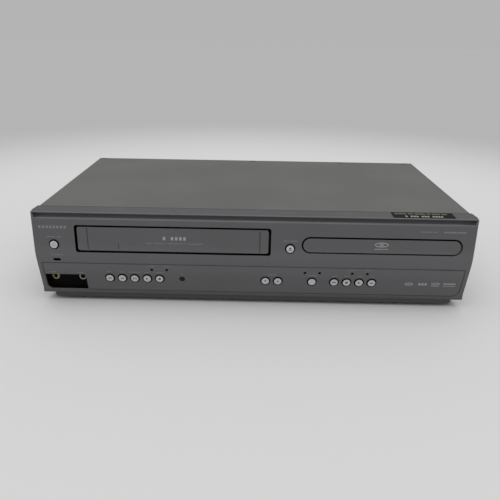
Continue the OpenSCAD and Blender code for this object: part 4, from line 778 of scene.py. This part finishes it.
FRONT_JACKS = ((-205.0, 27.5), (-176.8, 27.5))  # middles of the front jacks, in mm
FRONT_JACK_TINTS = ("yellow", "pale")
FRONT_JACK_CORE = (2.5, 0.85)       # mm; radius and width of the black ring in a front jack
JACK_FACE = 0.6 * MM                # depths of a jack's coloured face and of its sleeve
JACK_SLEEVE = 3 * MM
REAR_JACK_TINTS = ("yellow", "white", "red", "white", "red", "green", "blue", "red")
REAR_JACK_PITCH = 14 * MM
BOARD = 1.7 * MM                    # thickness of a board, with a little over
TALL = 6 * MM                       # parts that stand higher on a board have bright tops
TRANSFORMER = (-15 * MM, 15 * MM)   # from the middle of the disc tray to its two sides
HEAT_SINK = (-47 * MM, -43 * MM)    # the same


def front_jack(face):
    """The finish of a face on the front jacks: recess, one of the tints, or sleeve."""
    place = face.calc_center_median()
    depth = place.y - BOXES["front_av_jacks"][0].y
    if abs(face.normal.y) > SQUARE_ON:
        side = 1 if place.x < middle("front_av_jacks")[0] * MM else 2
        return side if depth < JACK_FACE else 0
    return 3 if depth < JACK_SLEEVE else 0


def rear_jack_columns():
    """Places of the rear jacks from side to side."""
    first = BOXES["rear_av_jacks"][0].x + REAR_JACK_PITCH / 2
    return [first + REAR_JACK_PITCH * column for column in range(len(REAR_JACK_TINTS))]


def rear_jack(face):
    """The finish of a face on the rear jacks: block, the tint of its column, or sleeve."""
    place = face.calc_center_median()
    if place.y < BOXES["rear_panel"][1].y:
        return 0
    if (abs(face.normal.y) > SQUARE_ON
            and place.y > BOXES["rear_av_jacks"][1].y - JACK_FACE):
        return 1 + round((place.x - rear_jack_columns()[0]) / REAR_JACK_PITCH)
    return 1 + len(REAR_JACK_TINTS)


def on_board(face):
    """The finish of a face on a board: laminate, dark part or bright top."""
    height = face.calc_center_median().z - BOXES["main_board"][0].z - BOARD
    if height < 0:
        return 0
    return 2 if face.normal.z > SQUARE_ON and height > TALL else 1


def on_power_board(face):
    """As on_board, with finishes for the transformer and the heat sink."""
    kind = on_board(face)
    span = face.calc_center_median().x - middle("disc_tray")[0] * MM
    if kind and TRANSFORMER[0] < span < TRANSFORMER[1]:
        return 3
    if kind and HEAT_SINK[0] < span < HEAT_SINK[1]:
        return 4
    return kind


class DECK_OT_fittings(Operator):
    """Round and colour the jacks, the cord gland and the parts on the boards"""
    bl_idname = "deck.fittings"
    bl_label = "Jacks, gland and boards"

    def execute(self, context):
        board = ("circuit_board", "black_plastic", "sleeve_metal")
        softened("front_av_jacks", JACK_EDGE, 2,
                 ("black_and_shade", *FRONT_JACK_TINTS, "sleeve_metal"), front_jack)
        mark = Print()
        for u, v in FRONT_JACKS:
            mark.ring(u, v, *FRONT_JACK_CORE)
        mark.lay("front_jack_cores", "front_av_jacks", "black_and_shade")
        softened("rear_av_jacks", JACK_EDGE, 2,
                 ("black_plastic", *REAR_JACK_TINTS, "sleeve_metal"), rear_jack)
        softened("rf_tuner", BOARD_EDGE)
        softened("cord_gland", GLAND_EDGE)
        softened("main_board", BOARD_EDGE, 2, board, on_board)
        softened("power_board", BOARD_EDGE, 2, (*board, "coil_tape", "zinc_steel"),
                 on_power_board)
        return {"FINISHED"}


EAR = FRONT + 4.5 * MM              # faces turned forwards behind this are the flap's ears


def rim(face):
    """1 on the faces round the side of a piece in the front, which are painted near black as
    shade.
    """
    return 0 if abs(face.normal.y) > SQUARE_ON else 1


def rim_or_ear(face):
    """1 on the sides of the flap or the bezel and on what lies behind their faces, painted near
    black as shade.
    """
    ear = face.normal.y < 0 and face.calc_center_median().y > EAR
    return 1 if ear else rim(face)


class DECK_OT_doors(Operator):
    """Round the edges of the cassette flap and the tray bezel"""
    bl_idname = "deck.doors"
    bl_label = "Flap and bezel"

    def execute(self, context):
        housing = settings(context)[0]
        for node in ("cassette_flap", "tray_bezel"):
            # the sides and ears are painted near black, the shade in the gaps round the flap and
            # the bezel
            softened(node, housing.edge, 2, ("panel_plastic", "black_and_shade"), rim_or_ear)
        return {"FINISHED"}


BUTTON_FACE = 2 * MM                # behind this depth a button is painted near black, the shade in its bore


class DECK_OT_buttons(Operator):
    """Round the rims of the push buttons"""
    bl_idname = "deck.buttons"
    bl_label = "Buttons"

    def execute(self, context):
        controls = settings(context)[1]
        for node in BUTTONS:
            back = BOXES[node][0].y + BUTTON_FACE
            piece = softened(node, controls.rim, 3, ("button_plastic", "black_and_shade"),
                             lambda face: 1 if face.calc_center_median().y > back else rim(face))
            # the rounded rim is painted near black too, the shade in the gap round the button
            piece.modifiers["Rounded edges"].material = 1
        return {"FINISHED"}


def symbol_power(mark, u, v):
    mark.ring(u, v - 0.1, 1.6, 0.4, 70)
    mark.bar(u, v + 1.0, 0.4, 1.6)


def symbol_eject(mark, u, v):
    mark.arrow(u, v + 0.5, 3.0, 2.0)
    mark.bar(u, v - 1.3, 3.0, 0.6)


def symbol_back(mark, u, v):
    mark.arrow(u - 0.7, v, 2.0, 1.6, 90)
    mark.arrow(u + 0.9, v, 2.0, 1.6, 90)


def symbol_forward(mark, u, v):
    mark.arrow(u - 0.9, v, 2.0, 1.6, -90)
    mark.arrow(u + 0.7, v, 2.0, 1.6, -90)


def symbol_stop_eject(mark, u, v):
    mark.bar(u - 1.1, v, 1.5, 1.5)
    mark.arrow(u + 1.2, v + 0.3, 1.8, 1.3)
    mark.bar(u + 1.2, v - 0.8, 1.8, 0.4)


def symbol_play(mark, u, v):
    mark.arrow(u - 0.3, v, 2.5, 2.3, -90)


def symbol_record(mark, u, v):
    mark.disc(u, v, 1.3)


def symbol_down(mark, u, v):
    mark.arrow(u, v + 0.2, 2.4, 1.9, 180)


def symbol_up(mark, u, v):
    mark.arrow(u, v - 0.2, 2.4, 1.9)


def symbol_skip_back(mark, u, v):
    symbol_back(mark, u + 0.3, v)
    mark.bar(u - 1.7, v, 0.4, 1.9)


def symbol_skip_forward(mark, u, v):
    symbol_forward(mark, u - 0.3, v)
    mark.bar(u + 1.7, v, 0.4, 1.9)


def symbol_stop(mark, u, v):
    mark.bar(u, v, 2.3, 2.3)


SYMBOLS = {
    "button_power": symbol_power,
    "button_tray_open": symbol_eject,
    "button_rewind": symbol_back,
    "button_fast_forward": symbol_forward,
    "button_stop_eject": symbol_stop_eject,
    "button_tape_play": symbol_play,
    "button_record": symbol_record,
    "button_channel_down": symbol_down,
    "button_channel_up": symbol_up,
    "button_skip_back": symbol_skip_back,
    "button_disc_stop": symbol_stop,
    "button_disc_play": symbol_play,
    "button_skip_forward": symbol_skip_forward,
}


class DECK_OT_symbols(Operator):
    """Print the plain symbols on the push buttons"""
    bl_idname = "deck.symbols"
    bl_label = "Button symbols"

    def execute(self, context):
        controls = settings(context)[1]
        for node, draw in SYMBOLS.items():
            mark = Print()
            draw(mark, *middle(node))
            ink = "grey_ink" if node == "button_power" else "symbol_ink"
            mark.lay(node.replace("button", "symbol"), node, ink, controls.film)
        return {"FINISHED"}


# Each row of small blocks is: left, right, height and size in mm, letters in each word, and
# where they aren't the usual ones the space between words and the fill of a letter.
PANEL_WORDS = (
    (-212.8, -184.2, 84.5, 2.8, (8,), 1.0, 0.6),
    (-205.5, -191.0, 74.4, 0.9, (5, 2)),
    (-202.5, -190.5, 55.6, 0.9, (7, 2)),
    (163.4, 180.0, 86.4, 0.9, (9, 3)),
    (186.0, 207.8, 86.4, 1.4, (9,), 1.0, 0.8),
)
CAPTION = 0.9                       # mm; size of the captions of buttons
SMALL_CAPTION = 0.8                 # mm; size of the captions of windows and jacks
CAPTION_RISE = 7.4                  # mm from a button's middle up to its caption
BUTTON_CAPTIONS = {                 # mm; widths
    "button_rewind": 4.5,
    "button_fast_forward": 6.0,
    "button_stop_eject": 12.0,
    "button_tape_play": 4.5,
    "button_record": 8.0,
    "button_skip_back": 5.0,
    "button_disc_stop": 5.0,
    "button_disc_play": 5.0,
    "button_skip_forward": 5.0,
    "button_source": 10.0,
}
CAPTIONED_WINDOWS = ((-103.0, 44.0), (-87.8, 44.0), (100.9, 44.0), (116.3, 44.0))  # mm
JACK_CAPTION = 34.9                 # mm; height of the captions of the front jacks


def panel_captions(mark):
    for row in PANEL_WORDS:
        mark.words(*row)
    u, v = middle("button_tray_open")
    mark.words(u - 7, u + 7, v + 7.9, CAPTION, (4, 5))
    for node, width in BUTTON_CAPTIONS.items():
        u, v = middle(node)
        mark.words(u - width / 2, u + width / 2, v + CAPTION_RISE, CAPTION, (round(width),))
    u, v = middle("button_channel_down")
    mark.words(u + 2.4, u + 11.2, v + CAPTION_RISE, CAPTION, (8,))
    for u, v in CAPTIONED_WINDOWS:
        mark.words(u - 3.0, u + 3.0, v, SMALL_CAPTION, (5,))
    mark.words(-74.2, -71.2, 34.8, SMALL_CAPTION, (2,))
    for u, v in FRONT_JACKS:
        mark.words(u - 3.6, u + 3.6, JACK_CAPTION, SMALL_CAPTION, (6,))


def corner_marks(mark):
    mark.ring(160.0, 28.4, 4.4, 0.7, 0, 0.42)
    mark.words(156.2, 163.8, 28.4, 0.7, (4,))
    mark.words(169.4, 178.8, 28.4, 2.6, (3,), 1.0, 0.7)
    mark.ring(187.2, 29.3, 4.6, 0.7, 0, 0.3)
    mark.words(183.0, 191.4, 26.6, 0.9, (6,), 1.0, 0.85)
    mark.words(195.2, 207.8, 29.3, 1.6, (6,), 1.0, 0.8)
    mark.words(195.2, 207.8, 26.6, 0.8, (9,))


def flap_mark(mark):
    mark.words(-90.5, -66.2, 74.6, 3.4, (1, 4), 0.9, 0.58)


def flap_line(mark):
    mark.words(-107.0, -50.0, 69.4, 0.8, (4, 7, 10, 1, 9))


def flap_scratch(mark):
    mark.bar(-134.0, 65.8, 0.45, 6.0, 1.5)


def ledge_scratch(mark):
    mark.bar(-79.9, -107.0, 0.4, 13.0, 29)


def bezel_marks(mark):
    mark.ring(126.6, 72.4, 6.8, 0.9, 0, 0.36)
    mark.ring(126.6, 72.4, 2.2, 0.6, 0, 0.4)
    mark.words(119.8, 133.4, 68.0, 0.8, (5,), 1.0, 0.8)


PRINTS = {
    "panel_captions": (panel_captions, "front", "front_panel", "caption_ink"),
    "corner_marks": (corner_marks, "front", "front_panel", "door_ink"),
    "flap_mark": (flap_mark, "front", "cassette_flap", "door_ink"),
    "flap_line": (flap_line, "front", "cassette_flap", "caption_ink"),
    "flap_scratch": (flap_scratch, "front", "cassette_flap", "black_and_shade"),
    "ledge_scratch": (ledge_scratch, "top", "front_panel", "scratch_grey"),
    "bezel_marks": (bezel_marks, "front", "tray_bezel", "door_ink"),
}


class DECK_OT_captions(Operator):
    """Print the plain marks and blocks on the panel, the flap and the bezel"""
    bl_idname = "deck.captions"
    bl_label = "Captions"

    def execute(self, context):
        controls = settings(context)[1]
        for name, (draw, facing, node, ink) in PRINTS.items():
            mark = Print(facing)
            draw(mark)
            mark.lay(name, node, ink, controls.film)
        return {"FINISHED"}


LABEL_MIDDLE = (166.6, -107.0)      # mm; middle of the label on the ledge, seen from above
OVERPRINT = 0.02 * MM               # height of the print on a label
PLATE = (-96, 46, 72, 36)           # mm; middle, width and height of the plate on the back
PLATE_LINES = ((8, 6), (12, 5, 9), (6, 14), (9, 4, 8), (16, 7), (5, 9, 6))
PLATE_LETTER = 1.9                  # mm; pitch of the letters on the plate
REAR_CAPTIONS = {"rf_tuner": 34, "cord_gland": 11}  # mm from a node's middle up to its caption


class DECK_OT_labels(Operator):
    """Lay the dark label on the ledge and the bare plate on the back"""
    bl_idname = "deck.labels"
    bl_label = "Labels"

    def execute(self, context):
        labels = settings(context)[2]
        over = labels.film + OVERPRINT
        u, v = LABEL_MIDDLE
        width, depth = labels.width / MM, labels.depth / MM
        mark = Print("top")
        mark.bar(u, v, width, depth)
        mark.lay("ledge_label", "front_panel", "label_foil", labels.film)
        mark = Print("top")
        mark.words(u - width / 2 + 3, u + width / 2 - 6, v + 3.7, 3.0, (9, 4, 8, 3, 6, 4))
        mark.lay("ledge_label_rows", "front_panel", "label_small_ink", over)
        mark = Print("top")
        mark.words(u - width / 2 + 12, u + width / 2 - 11.5, v - 3.0, 3.4, (1, 3, 3, 4),
                   0.9, 0.74)
        mark.lay("ledge_label_line", "front_panel", "label_ink", over)

        mark = Print("rear")
        mark.bar(*PLATE)
        mark.lay("rear_plate", "rear_panel", "plate_foil", labels.film)
        mark = Print("rear")
        left, top = PLATE[0] - PLATE[2] / 2 + 4, PLATE[1] + PLATE[3] / 2 - 5
        for row, counts in enumerate(PLATE_LINES):
            reach = PLATE_LETTER * (sum(counts) + len(counts) - 1)
            mark.words(left, left + reach, top - 4.6 * row, 1.5, counts)
        mark.bar(-72, 38, 14, 10)
        mark.lay("rear_plate_rows", "rear_panel", "symbol_ink", over)

        mark = Print("rear")
        top = BOXES["rear_av_jacks"][1].z / MM
        for column in rear_jack_columns():
            u = -column / MM
            mark.words(u - 4, u + 4, top + 2.6, 1.1, (5,))
            mark.bar(u, top + 5.0, 11.0, 0.4)
        for node, rise in REAR_CAPTIONS.items():
            u, v = middle(node)
            mark.words(-u - 6, -u + 6, v + rise, 1.2, (4, 3))
        mark.lay("rear_captions", "rear_panel", "symbol_ink")
        return {"FINISHED"}


FLOOR_REACH = 14                    # m from the floor's middle to its sides
FADE = (0.5, 1.15)                  # m; between these the floor fades from near to far, a painted pool of light round the deck
LAMP_HEIGHT = 1.7                   # m
SENSOR = 36                         # mm
FOCAL = 509.14 / 500                # focal length as a share of the render's width
EYE = (0.000916, -0.58468, 0.26156)     # m
YAW, PITCH, ROLL = -0.009, 0.4, 0.016   # radians


def lay_floor(context, stage):
    shape = bmesh.new()
    bmesh.ops.create_grid(shape, x_segments=1, y_segments=1, size=FLOOR_REACH)
    mesh = bpy.data.meshes.new("floor")
    shape.to_mesh(mesh)
    shape.free()
    floor = bpy.data.objects.new("floor", mesh)
    context.scene.collection.objects.link(floor)
    f = Finish("floor_paper")
    reach = f.get("ShaderNodeVectorMath", {"operation": "LENGTH"}, {0: f.place}, "Value")
    # painted light: brighter round the deck, fading to the backdrop's darker tone further out
    tone = f.mix(f.ramp(reach, *FADE), stage.near, stage.far)
    tone = f.mix(f.noise(7.0, 3.0) * 0.03, tone, (0.5, 0.5, 0.5))
    f.set(Base_Color=tone, Roughness=0.9)
    mesh.materials.append(f.material)


def light_world(context, stage):
    """Even light, with the backdrop's tone where the camera or a gloss sees past the floor."""
    world = bpy.data.worlds.new("studio")
    context.scene.world = world
    world.use_nodes = True
    n = Nodes(world.node_tree)
    camera = n.get("ShaderNodeLightPath", {}, {}, "Is Camera Ray")
    glossy = n.get("ShaderNodeLightPath", {}, {}, "Is Glossy Ray")
    through = n.get("ShaderNodeLightPath", {}, {}, "Is Transmission Ray")
    light = n.get("ShaderNodeBackground", {}, {"Color": (1, 1, 1), "Strength": stage.sky})
    seen = n.get("ShaderNodeBackground", {}, {"Color": stage.far, "Strength": 1})
    either = n.get("ShaderNodeMixShader", {},
                   {0: camera.most(glossy).most(through), 1: light, 2: seen})
    n.feed(n.tree.nodes["World Output"].inputs["Surface"], either)


def hang_lamp(context, stage):
    lamp = bpy.data.lights.new("softbox", "SUN")
    lamp.energy = stage.lamp
    lamp.angle = stage.spread
    box = bpy.data.objects.new("softbox", lamp)
    box.rotation_euler = (stage.lean, 0, 0)
    box.location = (0, 0, LAMP_HEIGHT)
    context.scene.collection.objects.link(box)


def set_camera(context):
    camera = bpy.data.cameras.new("camera")
    camera.sensor_width = SENSOR
    camera.lens = SENSOR * FOCAL
    camera.clip_start = 0.01
    eye = bpy.data.objects.new("camera", camera)
    ahead = Vector((math.sin(YAW) * math.cos(PITCH), math.cos(YAW) * math.cos(PITCH),
                    -math.sin(PITCH)))
    right = Vector((math.cos(YAW), -math.sin(YAW), 0))
    up = right.cross(ahead)
    side = math.cos(ROLL) * right + math.sin(ROLL) * up
    head = math.cos(ROLL) * up - math.sin(ROLL) * right
    turn = Matrix((side, head, -ahead)).transposed().to_4x4()
    eye.matrix_world = Matrix.Translation(EYE) @ turn
    context.scene.collection.objects.link(eye)
    context.scene.camera = eye


class DECK_OT_stage(Operator):
    """Lay the floor, light it softly and set the camera"""
    bl_idname = "deck.stage"
    bl_label = "Stage"

    def execute(self, context):
        stage = settings(context)[3]
        lay_floor(context, stage)
        light_world(context, stage)
        hang_lamp(context, stage)
        set_camera(context)
        context.scene.view_settings.view_transform = "Standard"
        return {"FINISHED"}


OPERATORS = (DECK_OT_finishes, DECK_OT_housing, DECK_OT_fittings, DECK_OT_doors, DECK_OT_buttons,
             DECK_OT_symbols, DECK_OT_captions, DECK_OT_labels, DECK_OT_stage)


class DECK_PT_deck(Panel):
    """Steps and settings of the deck"""
    bl_idname = "DECK_PT_deck"
    bl_label = "Disc and cassette deck"
    bl_space_type = "VIEW_3D"
    bl_region_type = "UI"
    bl_category = "Deck"

    def draw(self, context):
        for group in settings(context):
            box = self.layout.box()
            for name in group.__annotations__:
                box.prop(group, name)
        for operator in OPERATORS:
            self.layout.operator(operator.bl_idname)


CLASSES = (*SETTINGS.values(), *OPERATORS, DECK_PT_deck)


def register():
    for item in CLASSES:
        bpy.utils.register_class(item)
    for name, group in SETTINGS.items():
        setattr(bpy.types.Scene, name, PointerProperty(type=group))


def unregister():
    for name in SETTINGS:
        delattr(bpy.types.Scene, name)
    for item in reversed(CLASSES):
        bpy.utils.unregister_class(item)


def main():
    register()
    bpy.ops.deck.finishes()
    bpy.ops.deck.housing()
    bpy.ops.deck.fittings()
    bpy.ops.deck.doors()
    bpy.ops.deck.buttons()
    bpy.ops.deck.symbols()
    bpy.ops.deck.captions()
    bpy.ops.deck.labels()
    bpy.ops.deck.stage()


if __name__ == "__main__":
    main()
